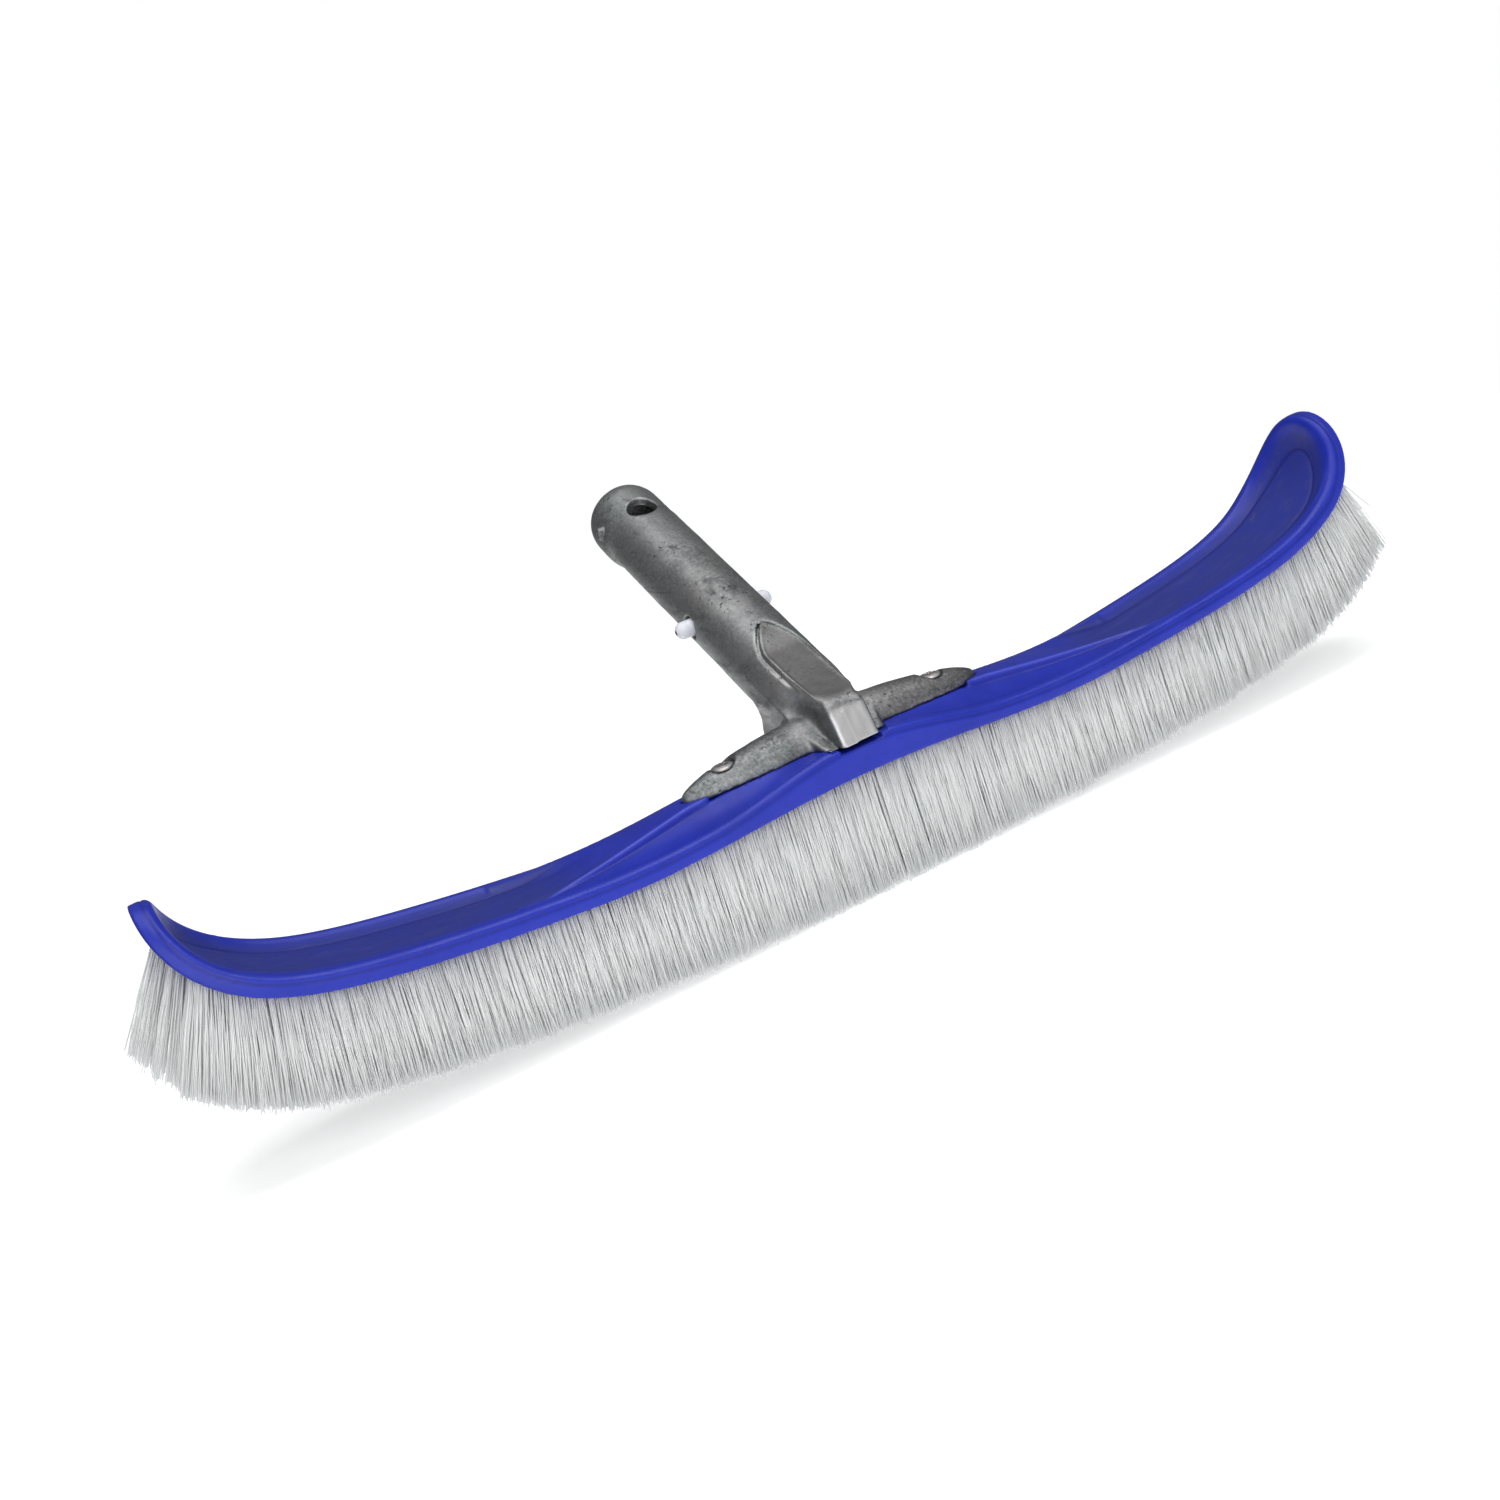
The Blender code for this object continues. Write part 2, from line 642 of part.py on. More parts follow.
def strip_outline(centres):
    """Comb outline of one strip: along the back, then down and up each tuft."""
    root, tip = TUFT_ROOT / 2, TUFT_TIP / 2
    top = [tuft_point(s, side * root, 0) for s in centres for side in (-1, 1)]
    bottom = []
    for s in reversed(centres):
        web = WEB / BRISTLE_LENGTH
        bottom += [tuft_point(s, root, web), tuft_point(s, tip, 1)]
        bottom += [tuft_point(s, -tip, 1), tuft_point(s, -root, web)]
    return top + bottom


def make_strip(name, row, centres):
    bm = bmesh.new()
    outline = strip_outline(centres)
    half = TUFT_WIDTH / 2
    middle = [row * half_width(min(abs(s), ROW_STRAIGHT_FROM)) for s in centres]

    def across(point):
        spots = [abs(point.x - curve_at(s)[0]) for s in centres]
        return middle[spots.index(min(spots))]

    near = [bm.verts.new(point + Vector((0, across(point) - half, 0))) for point in outline]
    face = bm.faces.new(near)
    made = bmesh.ops.extrude_face_region(bm, geom=[face])
    moved = [v for v in made["geom"] if isinstance(v, bmesh.types.BMVert)]
    bmesh.ops.translate(bm, verts=moved, vec=(0, 2 * half, 0))
    return put(name, mesh_from(bm, name), parts, back_frame, NYLON)


def zone_of(place):
    """Which strip of its row a tuft belongs to, from its count from the middle."""
    zone = sum(abs(place) > last for last, _ in ZONES[:-1])
    label = ZONES[zone][1]
    if zone == 0:
        return label
    return f"{label}_{'left' if place < 0 else 'right'}"


for number, (row, last) in enumerate(zip(ROWS, LAST_TUFTS), start=1):
    places = [i - last for i in range(int(2 * last) + 1)]
    strips = {}
    for place in places:
        strips.setdefault(zone_of(place), []).append(place * TUFT_PITCH)
    for label, centres in strips.items():
        make_strip(f"tufts_row{number}_{label}", row, centres)
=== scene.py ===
"""Looks of the pool wall brush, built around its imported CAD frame.

Shapes are worked out in millimetres in the back's frame: x along the back, y across it,
z up from the middle of its underside. Closed surfaces come from distance fields: each
field is negative inside the body, and its zero surface is meshed on a grid.
"""

import json
import math

import bpy
import numpy as np
from mathutils import Matrix, Vector


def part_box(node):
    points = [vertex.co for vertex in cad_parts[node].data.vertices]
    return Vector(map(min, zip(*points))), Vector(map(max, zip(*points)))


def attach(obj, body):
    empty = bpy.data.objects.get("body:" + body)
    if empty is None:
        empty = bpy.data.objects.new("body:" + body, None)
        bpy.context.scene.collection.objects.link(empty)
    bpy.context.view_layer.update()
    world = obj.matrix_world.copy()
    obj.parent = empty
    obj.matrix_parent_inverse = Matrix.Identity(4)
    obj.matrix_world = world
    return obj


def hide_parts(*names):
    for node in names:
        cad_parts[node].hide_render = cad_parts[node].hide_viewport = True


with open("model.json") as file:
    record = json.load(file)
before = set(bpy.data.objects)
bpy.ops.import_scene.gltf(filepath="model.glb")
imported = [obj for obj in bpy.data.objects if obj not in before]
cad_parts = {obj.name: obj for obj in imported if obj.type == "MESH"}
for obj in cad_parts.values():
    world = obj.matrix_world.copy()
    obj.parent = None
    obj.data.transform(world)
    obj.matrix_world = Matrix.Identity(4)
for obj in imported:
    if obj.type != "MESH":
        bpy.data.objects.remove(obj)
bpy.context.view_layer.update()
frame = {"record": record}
MM = 0.001

# ---------------------------------------------------------------- where the CAD stands

MOUNTS = {mount["name"]: mount for mount in frame["record"]["mounts"]}
SCREW_TIP = 8.6                  # screw tips above the back's underside, mm
ORIGIN = np.array([
    0.0,
    MOUNTS["bristle_face"]["pos_m"][1] / MM,
    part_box("screw_left")[0].z / MM - SCREW_TIP,
])

# ---------------------------------------------------------------- dimensions, mm

# The left and right end: half length along the curve, length of its rounding, curvature
# at the end in 1/mm, and where it bends. The moulding is slightly uneven, as the real one.
LEFT_END = (239.0, 46.0, 30.6e-3, 194.8)
RIGHT_END = (242.0, 39.0, 29.0e-3, 192.9)
K_MIDDLE, BEND_LENGTH = 0.839e-3, 13.4
ARCH, ARCH_REACH = 6.5, 97.0
WIDTH_MIDDLE, WIDTH_END = 20.0, 24.4     # half widths
WIDEN_FROM, WIDEN_TO = 30.0, 180.0
RIM, RIM_MIDDLE, RIM_REACH = 6.1, 11.7, 58.0
RIM_CREST, RIM_FOOT = 3.0, 11.0
DISH_FLOOR = 3.7
DISH_START, DISH_FULL = 78.0, 122.0
SEAT, SEAT_DROP = 17.0, 2.0
WING_TIP, WING_WIDE = 57.0, 10.2 # half length and half width of the two wings
WING_TOP, WING_FALL = 27.0, 0.00208      # height of their crown, and how it falls with x squared
WING_EDGE = 1.7                  # thickness at their edge
SPINE_FROM = 50.0                # the spine's blunt ends, beside the wing tips
SPINE_HALF = 6.4
SPINE_STEP = 2.5                 # its shoulder stands this far above the flanks
RIDGE_HEIGHT, RIDGE_ENDS = 12.5, (112.0, 119.0)

POCKET_GAP = 0.35                # clearance round the casting's foot
SPINE_MARGIN = 1.5               # where it meets the rim, the spine's edge stays this far inside its roll
RIM_ROLL, GROOVE_UP = 2.6, 0.3   # height of the rim's roll, and of the groove over the roll's foot

LEAN = math.radians(61.4)
ALONG = np.array([0.0, math.sin(LEAN), math.cos(LEAN)])
UP = np.array([0.0, -math.cos(LEAN), math.sin(LEAN)])
AXIS = np.array([0.0, -2.0, 21.7])
TUBE_R, BORE_R, TUBE_FROM, BORE_FROM, NOSE = 14.0, 10.9, 16.0, 27.0, 146.0
BUTTON_AT, BUTTON_R, BUTTON_TIP, BUTTON_HOLE = 71.8, 3.15, 19.4, 4.1
HINGE_AT, ARM_END, ARM_X, ARM_HALF, ARM_HIGH = 38.6, 77.5, 8.0, 1.0, 4.5
SCREW_X, SCREW_SEAT = 40.0, 21.2
SEAT_R, SHANK_HOLE_R, SHANK_HOLE_FROM = 4.5, 2.3, 14.0
NECK_HALF, NECK_FLARE, NECK_TILT = 12.5, 3.8, (0.964, 0.265)
SLOT_HALF, SLOT_FROM, SLOT_TO = 7.5, 36.0, 143.0
END_HOLE_AT, END_HOLE_R = 132.5, 5.7
NUB_AT, NUB_HALF = (-15.1, 139.2, 3.8), (0.9, 0.6, 1.9)     # a small nub beside the nose
LIP_R, GUTTER_R = 0.42, 0.4      # the raised edge of the tongue, and the hollow inside it
SCREW_LIFT, THREAD = 0.3, 1.6    # head over its seat, and the thread's pitch
RIB_HALF, TONGUE_FROM, TONGUE, TONGUE_POINT = 7.0, 28.0, 15.0, 1.6
TAB_FOOT, TAB_NOTCH = 17.3, 15.4   # underside of the front tab, and the notch round it

PITCH = 10.6
ROWS = (-0.72, -0.36, 0.0, 0.36, 0.72)
LAST_TUFTS = (20, 20.5, 21, 20.5, 20)
ZONES = ((5, "middle"), (13, "side"), (18, "bend"), (22, "end"))
BRISTLE, FAN = 33.2, 0.45


# ---------------------------------------------------------------- small maths

def smooth(v):
    v = np.clip(v, 0.0, 1.0)
    return v * v * (3 - 2 * v)


def smin(a, b, k):
    h = np.clip(0.5 + 0.5 * (b - a) / k, 0.0, 1.0)
    return b + (a - b) * h - k * h * (1 - h)


def smax(a, b, k):
    return -smin(-a, -b, k)


def ripples(seed, wavelength, count=9):
    """Soft random field: waves of about one wavelength in many directions."""
    rng = np.random.default_rng(seed)
    directions = rng.normal(size=(count, 3))
    directions /= np.linalg.norm(directions, axis=1)[:, None]
    waves = directions * (2 * math.pi / (wavelength * rng.uniform(0.7, 1.4, (count, 1))))
    phases = rng.uniform(0, 2 * math.pi, count)

    def at(x, y, z):
        total = 0.0
        for (kx, ky, kz), phase in zip(waves, phases):
            total = total + np.sin(kx * x + ky * y + kz * z + phase)
        return total / math.sqrt(count)

    return at


# ---------------------------------------------------------------- surfaces from fields

def surface(field, axes):
    """Zero surface of field(a, b, c) on the grid of the three axes, as points and quads."""
    sizes = [len(axis) for axis in axes]
    grid = np.empty(sizes, np.float32)
    b, c = np.meshgrid(axes[1], axes[2], indexing="ij")
    for start in range(0, sizes[0], 12):
        slab = axes[0][start:start + 12]
        a = np.broadcast_to(slab[:, None, None], (len(slab), *b.shape))
        grid[start:start + 12] = field(a, np.broadcast_to(b, a.shape), np.broadcast_to(c, a.shape))
    inside = grid < 0
    count = np.zeros([n - 1 for n in sizes], np.int8)
    corners = [(i, j, k) for i in (0, 1) for j in (0, 1) for k in (0, 1)]

    def corner(values, at):
        return values[tuple(slice(d, n - 1 + d) for d, n in zip(at, sizes))]

    for at in corners:
        count += corner(inside, at)
    cells = np.argwhere((count > 0) & (count < 8))
    number = np.full(count.shape, -1, np.int32)
    number[tuple(cells.T)] = np.arange(len(cells))
    total = np.zeros((len(cells), 3))
    hits = np.zeros(len(cells))
    for at in corners:
        for axis in range(3):
            if at[axis]:
                continue
            to = tuple(1 if i == axis else at[i] for i in range(3))
            low = grid[tuple((cells + at).T)].astype(float)
            high = grid[tuple((cells + to).T)].astype(float)
            cut = (low < 0) != (high < 0)
            share = np.where(cut, low / np.where(cut, low - high, 1.0), 0.0)
            point = np.array(at, float)[None] + share[:, None] * (np.array(to) - at)[None]
            total += point * cut[:, None]
            hits += cut
    spots = cells + total / hits[:, None]
    points = np.stack([np.interp(spots[:, i], np.arange(sizes[i]), axes[i]) for i in range(3)], 1)
    quads = []
    for axis in range(3):
        one, two = (axis + 1) % 3, (axis + 2) % 3
        low = [slice(None)] * 3
        high = [slice(None)] * 3
        low[axis], high[axis] = slice(0, -1), slice(1, None)
        change = inside[tuple(low)] != inside[tuple(high)]
        edges = np.argwhere(change)
        keep = (edges[:, one] > 0) & (edges[:, two] > 0)
        keep &= (edges[:, one] < sizes[one] - 1) & (edges[:, two] < sizes[two] - 1)
        edges = edges[keep]
        outward = inside[tuple(edges.T)]
        ring = []
        for d1, d2 in ((1, 1), (0, 1), (0, 0), (1, 0)):
            cell = edges.copy()
            cell[:, one] -= d1
            cell[:, two] -= d2
            ring.append(number[tuple(cell.T)])
        ring = np.stack(ring, 1)
        ring[~outward] = ring[~outward][:, ::-1]
        quads.append(ring)
    quads = np.concatenate(quads)
    step = 0.02
    reach = min(np.min(np.diff(axis)) for axis in axes)
    for _ in range(4):           # Newton steps bring the points onto the surface itself
        value = field(*points.T)
        slope = np.stack([
            (field(*(points + step * np.eye(3)[i]).T) - field(*(points - step * np.eye(3)[i]).T)) / (2 * step)
            for i in range(3)
        ], 1)
        move = value[:, None] * slope / np.maximum((slope ** 2).sum(1), 0.05)[:, None]
        length = np.linalg.norm(move, axis=1)
        move *= np.minimum(1.0, 0.3 * reach / np.maximum(length, 1e-9))[:, None]
        points = points - move
    return points, quads


def mesh_of(name, points, faces, attributes=None):
    """Blender mesh in metres in the row frame, from points in mm in the back's frame."""
    points = (np.asarray(points) + ORIGIN) * MM
    faces = np.asarray(faces)
    mesh = bpy.data.meshes.new(name)
    mesh.vertices.add(len(points))
    mesh.vertices.foreach_set("co", points.astype(np.float32).ravel())
    sides = faces.shape[1]
    mesh.loops.add(faces.size)
    mesh.loops.foreach_set("vertex_index", faces.astype(np.int32).ravel())
    mesh.polygons.add(len(faces))
    mesh.polygons.foreach_set("loop_start", np.arange(0, faces.size, sides, dtype=np.int32))
    mesh.update(calc_edges=True)
    mesh.validate()
    for key, values in (attributes or {}).items():
        made = mesh.attributes.new(key, "FLOAT", "POINT")
        made.data.foreach_set("value", np.asarray(values, np.float32))
    mesh.shade_smooth()
    return mesh


def piece(name, mesh, body, slot, material, *nodes):
    """Object that rides on a body and stands in for the CAD's nodes; the slot argument is not used."""
    thing = bpy.data.objects.new(name, mesh)
    bpy.context.scene.collection.objects.link(thing)
    mesh.materials.clear()
    mesh.materials.append(material)
    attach(thing, body)
    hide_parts(*nodes)
    return thing


def steps(*stretches):
    """Grid axis from (start, end, step) stretches that follow each other."""
    values = []
    for start, end, step in stretches:
        step *= 1.0
        values += list(np.linspace(start, end, max(2, round((end - start) / step)) + 1)[:-1])
    return np.array(values + [stretches[-1][1]])


# ---------------------------------------------------------------- the back's curve

def curve_tables(end):
    half_arc, _, k_end, bend_at = end
    count = 1200
    length = half_arc + 12
    step = length / count
    middle = (np.arange(count) + 0.5) * step
    share = 1 / (1 + np.exp(-(middle - bend_at) / BEND_LENGTH))
    turn = (K_MIDDLE + (k_end - K_MIDDLE) * share) * step
    slope = np.concatenate([[0], np.cumsum(turn)])
    half = slope[:-1] + turn / 2
    x = np.concatenate([[0], np.cumsum(np.cos(half) * step)])
    z = np.concatenate([[0], np.cumsum(np.sin(half) * step)])
    return np.linspace(0, length, count + 1), x, z, slope


LEFT_CURVE, RIGHT_CURVE = curve_tables(LEFT_END), curve_tables(RIGHT_END)


def curve_at(s):
    a, side = np.abs(s), np.sign(s)
    values = []
    for left, right in zip(LEFT_CURVE[1:], RIGHT_CURVE[1:]):
        values.append(np.where(s < 0, np.interp(a, LEFT_CURVE[0], left), np.interp(a, RIGHT_CURVE[0], right)))
    return side * values[0], values[1], side * values[2]


def arch_at(s):
    return np.where(np.abs(s) < ARCH_REACH, ARCH * 0.5 * (1 + np.cos(math.pi * s / ARCH_REACH)), 0.0)


def on_back(s, y, h):
    x, z, slope = curve_at(s)
    return x - h * np.sin(slope), y, z + arch_at(s) + h * np.cos(slope)


def full_width(s):
    share = smooth((np.abs(s) - WIDEN_FROM) / (WIDEN_TO - WIDEN_FROM))
    return WIDTH_MIDDLE + (WIDTH_END - WIDTH_MIDDLE) * share


def end_share(s):
    """How far s is into the rounding of its end, from 0 to 1 at the tip."""
    half_arc, rounding = (np.where(s < 0, LEFT_END[i], RIGHT_END[i]) for i in (0, 1))
    return np.maximum(np.abs(s) - (half_arc - rounding), 0) / rounding, rounding


def half_width(s):
    a = np.minimum(end_share(s)[0], 0.985)
    return full_width(s) * np.sqrt(1 - a * a)


# ---------------------------------------------------------------- shape of the back

def seat_height(x):
    return SEAT - SEAT_DROP * (x / WING_TIP) ** 2


def wing_half(x):
    return WING_WIDE * (1 - np.minimum(np.abs(x) / WING_TIP, 1.0) ** 2.6) ** 0.62


def inset_of(s, y):
    """Distance in from the back's outline; negative outside it."""
    width = full_width(s)
    a, rounding = end_share(s)
    b = np.abs(y) / width
    f = np.maximum(np.hypot(a, b), 1e-6)
    gradient = np.maximum(np.hypot(a / rounding, b / width) / f, 1e-6)
    return np.where(a > 0, (1 - f) / gradient, width - np.abs(y))


def neck_flank(ax, y, half):
    """Field of the neck's sides, which splay as they run back."""
    return (ax - half) * NECK_TILT[0] - (y - 3) * NECK_TILT[1]


def footprint(x, y, z, grow):
    """Field of the foot's underside: what the back leaves room for."""
    wing = np.abs(y) - wing_half(x) - grow
    wing = np.where(np.abs(x) > WING_TIP + grow, 5.0, wing)
    ax = np.abs(x)
    neck = np.maximum(
        ax - NECK_HALF - 0.5 * NECK_FLARE - grow, neck_flank(ax, y, NECK_HALF + NECK_FLARE) - grow,
    )
    neck = np.maximum(neck, np.maximum(y - 24.4 - grow, -20 - y))
    pocket = np.maximum(np.minimum(wing, neck), seat_height(x) - 0.25 - z)
    tab = np.maximum(np.maximum(ax - 7.0 - grow * 2, y - 5), TAB_NOTCH - z)
    return np.minimum(pocket, tab)


def ridge_out(s):
    """Share of the way from the wing tip to where the spine's edge meets the rim."""
    return np.clip((np.abs(s) - WING_TIP) / (np.where(s < 0, *RIDGE_ENDS) - WING_TIP), 0, 1)


def ridge_line(s):
    """Half width and height of the spine's edge at s."""
    out = ridge_out(s)
    edge = full_width(s) - RIM_CREST - SPINE_MARGIN
    half = SPINE_HALF + (edge - SPINE_HALF) * out ** 1.2
    return half, RIDGE_HEIGHT + (RIM + 0.2 - RIDGE_HEIGHT) * out ** 1.25


def rim_height(s):
    return RIM + (RIM_MIDDLE - RIM) * (1 - smooth(np.abs(s) / RIM_REACH))


def rim_foot(s):
    """How far in from the outline the dish's floor begins."""
    return RIM_FOOT + 4.0 * smooth((np.abs(s) - 200) / 32)


def back_field(s, y, h):
    a, ay = np.abs(s), np.abs(y)
    width = full_width(s)
    d = inset_of(s, y)
    rim = rim_height(s)
    x, z0, _ = curve_at(s)
    under = z0 + arch_at(s)
    offset, ridge = ridge_line(s)
    plateau = np.maximum(wing_half(x) + 0.5, offset)
    step = SPINE_STEP * (1 - ridge_out(s) ** 2)
    foot = rim_foot(s)
    dish = rim + (DISH_FLOOR - rim) * smooth((d - RIM_CREST) / (foot - RIM_CREST))
    dish = dish - 0.35 * np.exp(-(((d - foot + 0.4) / 0.75) ** 2))
    blend = smooth((a - DISH_START) / (DISH_FULL - DISH_START))
    inner = smooth((offset - ay) / 2.5 + 0.2)
    near_foot = seat_height(x) + 0.35 - under
    centre = near_foot + (ridge - step - near_foot) * smooth((a - 38) / 20)
    t = np.clip((ay - plateau) / np.maximum(width - RIM_CREST - plateau, 0.5), 0, 1)
    flank = rim + np.maximum(centre - rim, 0) * (1 - t) ** 1.8
    flank = flank + (np.minimum(dish, flank) - flank) * blend * inner
    bead = np.clip(d / RIM_CREST, 0, 1)
    wall = rim - RIM_ROLL
    top = np.where(d < RIM_CREST, wall + (rim - wall) * np.sqrt(np.maximum(1 - (1 - bead) ** 2, 0)), flank)
    groove = 0.38 * np.exp(-(((h - wall - GROOVE_UP) / 0.5) ** 2))
    body = smax(h - top, groove - d, 0.5)
    spine_top = ridge + 0.45 * (1 - np.minimum(ay / offset, 1) ** 2)
    inner = smooth((offset - ay) / 8)
    spine_top = spine_top + (np.minimum(dish, spine_top) - spine_top) * blend * inner
    spine = smax(h - spine_top, ay - offset, 0.7)
    spine = smax(spine, SPINE_FROM - a, 1.0)
    spine = np.maximum(spine, a - DISH_FULL)
    body = smin(body, spine, 0.5)
    body = smax(body, -h, 0.7)
    px, _, pz = on_back(s, y, h)
    return smax(body, -footprint(px, y, pz, POCKET_GAP), 0.35)


def make_back():
    s = steps((-244, -196, 0.9), (-196, -116, 1.8), (-116, -46, 1.0), (-46, -14, 1.6), (-14, 14, 0.7),
              (14, 46, 1.6), (46, 116, 1.0), (116, 196, 1.8), (196, 244, 0.9))
    y = steps((-25.5, 25.5, 0.75))
    h = steps((-1.0, 22.0, 0.5))
    points, quads = surface(back_field, (s, y, h))
    s, y, h = points.T
    a, d = np.abs(s), inset_of(s, y)
    above = h > 1.5
    bowl = smooth((d - 4.5) / 5) * smooth((a - 88) / 26) * above
    rim = np.exp(-(((d - 2.2) / 1.6) ** 2)) * (h > 2.0)
    dish_edge = np.exp(-(((d - rim_foot(s) + 0.4) / 0.9) ** 2)) * smooth((a - 92) / 20) * above
    out = ridge_out(s)
    offset, ridge = ridge_line(s)
    on_spine = smooth((a - SPINE_FROM) / 4) * smooth((1.02 - out) / 0.08)
    miss = np.hypot(np.abs(y) - offset + 0.3, h - ridge)
    under = np.hypot(np.abs(y) - offset - 0.9, h - ridge + SPINE_STEP * (1 - out ** 2))
    seam = 0.8 * np.exp(-(((h - rim_height(s) + RIM_ROLL - GROOVE_UP) / 0.45) ** 2)) * (d < 0.9)
    # Painted shade: darkening along the dish's edge, in the groove over the rim's roll and under the spine's
    # edge.
    crease_shade = np.maximum(np.maximum(dish_edge, seam), 0.6 * on_spine * np.exp(-((under / 0.9) ** 2)))
    # Painted highlight: a light line along the spine's edge.
    spine = on_spine * np.exp(-((miss / 0.8) ** 2))
    attributes = {"bowl": bowl, "rim": rim, "crease_shade": crease_shade, "spine": spine}
    return mesh_of("back_moulding", np.stack(on_back(s, y, h), 1), quads, attributes)


# ---------------------------------------------------------------- shape of the casting

lumps = ripples(3, 17.0)
grit = ripples(5, 4.2)


def tube_to_frame(x, t, u):
    return x, AXIS[1] + t * ALONG[1] + u * UP[1], AXIS[2] + t * ALONG[2] + u * UP[2]


def tongue_half(t):
    """Half width of the tongue, which comes to a point at its upper end."""
    return RIB_HALF * (1 - np.clip((t - TONGUE_FROM) / TONGUE, 0, 1) ** TONGUE_POINT)


def facet_height(t):
    """Height of the flat on the tube's front over its axis; its rim on the tube is a tongue."""
    away = t - TONGUE_FROM
    flat = math.sqrt(TUBE_R ** 2 - RIB_HALF ** 2)
    return np.where(away < 0, flat + 0.0024 * away ** 2, np.sqrt(TUBE_R ** 2 - tongue_half(t) ** 2))


def tongue_edge(x, t):
    """Distance outward from the rim of the tongue; its sides run straight on below it."""
    beyond = np.maximum(t - TONGUE_FROM - TONGUE, 0)
    away = np.clip((t - TONGUE_FROM) / TONGUE, 0, 1)
    slope = RIB_HALF / TONGUE * TONGUE_POINT * away ** (TONGUE_POINT - 1)
    side = (np.abs(x) - tongue_half(t)) / np.sqrt(1 + slope ** 2)
    return np.where(beyond > 0, np.hypot(x, beyond), side)


def wing_field(x, y, z):
    width = np.maximum(wing_half(np.minimum(np.abs(x), 56.3)), 0.5)
    low = seat_height(x)
    edge = low + WING_EDGE
    tip = np.sqrt(np.maximum(1 - np.minimum(np.abs(x) / WING_TIP, 1) ** 10, 0))
    rise = (WING_TOP - WING_FALL * x * x - edge) * tip
    share = np.minimum(np.abs(y) / width, 0.995)
    rest = 1 - share * share
    steep = rise * 1.5 * share * rest ** -0.25 / width
    top = (z - edge - rise * rest ** 0.75) / np.sqrt(1 + np.minimum(steep, 3.0) ** 2)
    wing = smax(top, np.abs(y) - width, 0.35)
    wing = smax(wing, np.abs(x) - 56.4, 1.4)
    return smax(wing, low - z, 0.5)


def tab_front(y, z):
    """Distance out from the front tab's leaning face."""
    return -(y + 16) * 0.9455 + (z - 31.5) * 0.3265


def casting_field(x, t, u):
    _, y, z = tube_to_frame(x, t, u)
    ax = np.abs(x)
    floor = seat_height(x) - z
    outside = np.sqrt(x * x + u * u + (t - np.clip(t, TUBE_FROM, NOSE)) ** 2) - TUBE_R
    bulge = 1.75 * smooth((t - 129) / 8)
    beyond = t - np.clip(t, 100, NOSE - 0.5)
    swell = np.sqrt((x + 0.88 * bulge) ** 2 + (u + 0.3 * bulge) ** 2 + beyond ** 2) - TUBE_R
    outside = smin(outside, swell, 0.6)
    flare = NECK_FLARE * (1 - smooth((z - 18) / 14))
    neck = smax(ax - NECK_HALF - 0.5 * flare, neck_flank(ax, y, NECK_HALF + flare), 1.2)
    neck = smax(neck, y - 24.3, 2.5)
    neck = smax(neck, ((z - 17.3) - (y + 17) * 1.07) / 1.465, 1.5)
    neck = np.maximum(neck, np.maximum(u - 3.0, floor))
    rib = smax(ax - RIB_HALF - 0.1, tab_front(y, z), 1.8)
    rib = smax(rib, t - 24.0, 3.0)
    rib = smax(rib, TAB_FOOT - z, 0.5)
    rib = np.maximum(rib, np.where(y < 8, -1.0, 1.0) * 4)
    body = smin(wing_field(x, y, z), neck, 1.6)
    body = smin(body, outside, 3.0)
    body = smin(body, rib, 0.6 + 3.0 * smooth((z - 18.5) / 7))
    flat = facet_height(t)
    body = smax(body, u - flat, 0.5 + 3.6 * smooth((-y - 8) / 6))
    rim, fade = tongue_edge(x, t), smooth((t + 4) / 12)
    lip = np.hypot(rim, u - flat + 0.35) - LIP_R * fade
    body = smin(body, lip, 0.7)
    gutter = np.hypot(rim - 1.2, u - flat + 1.2) - GUTTER_R * fade
    body = smax(body, -gutter, 1.3)
    body = body + 0.06 * lumps(x, y, z) + 0.02 * grit(x, y, z)
    away = [v - at for v, at in zip((x, t, u), NUB_AT)]
    nub = sum(np.maximum(np.abs(v) - half, 0) ** 2 for v, half in zip(away, NUB_HALF))
    nub = np.sqrt(nub) - 0.6
    body = smin(body, nub, 0.4)
    bore = np.sqrt(x * x + u * u + (t - np.clip(t, BORE_FROM + BORE_R * 0.2, NOSE)) ** 2) - BORE_R
    bore = np.maximum(bore, BORE_FROM - t)
    body = smax(body, -bore, 0.4)
    slot = np.maximum(np.maximum(ax - SLOT_HALF, np.maximum(SLOT_FROM - t, t - SLOT_TO)), u)
    body = smax(body, -slot, 0.8)
    hole = np.maximum(np.hypot(x, t - END_HOLE_AT) - END_HOLE_R, -u)
    body = smax(body, -hole, 0.6)
    holes = np.hypot(t - BUTTON_AT, u) - BUTTON_HOLE
    body = smax(body, -holes, 0.8)
    seat = np.maximum(np.hypot(ax - SCREW_X, y) - SEAT_R, SCREW_SEAT - z)
    body = smax(body, -seat, 0.7)
    shank = np.maximum(np.hypot(ax - SCREW_X, y) - SHANK_HOLE_R, SHANK_HOLE_FROM - z)
    return np.maximum(body, -shank)


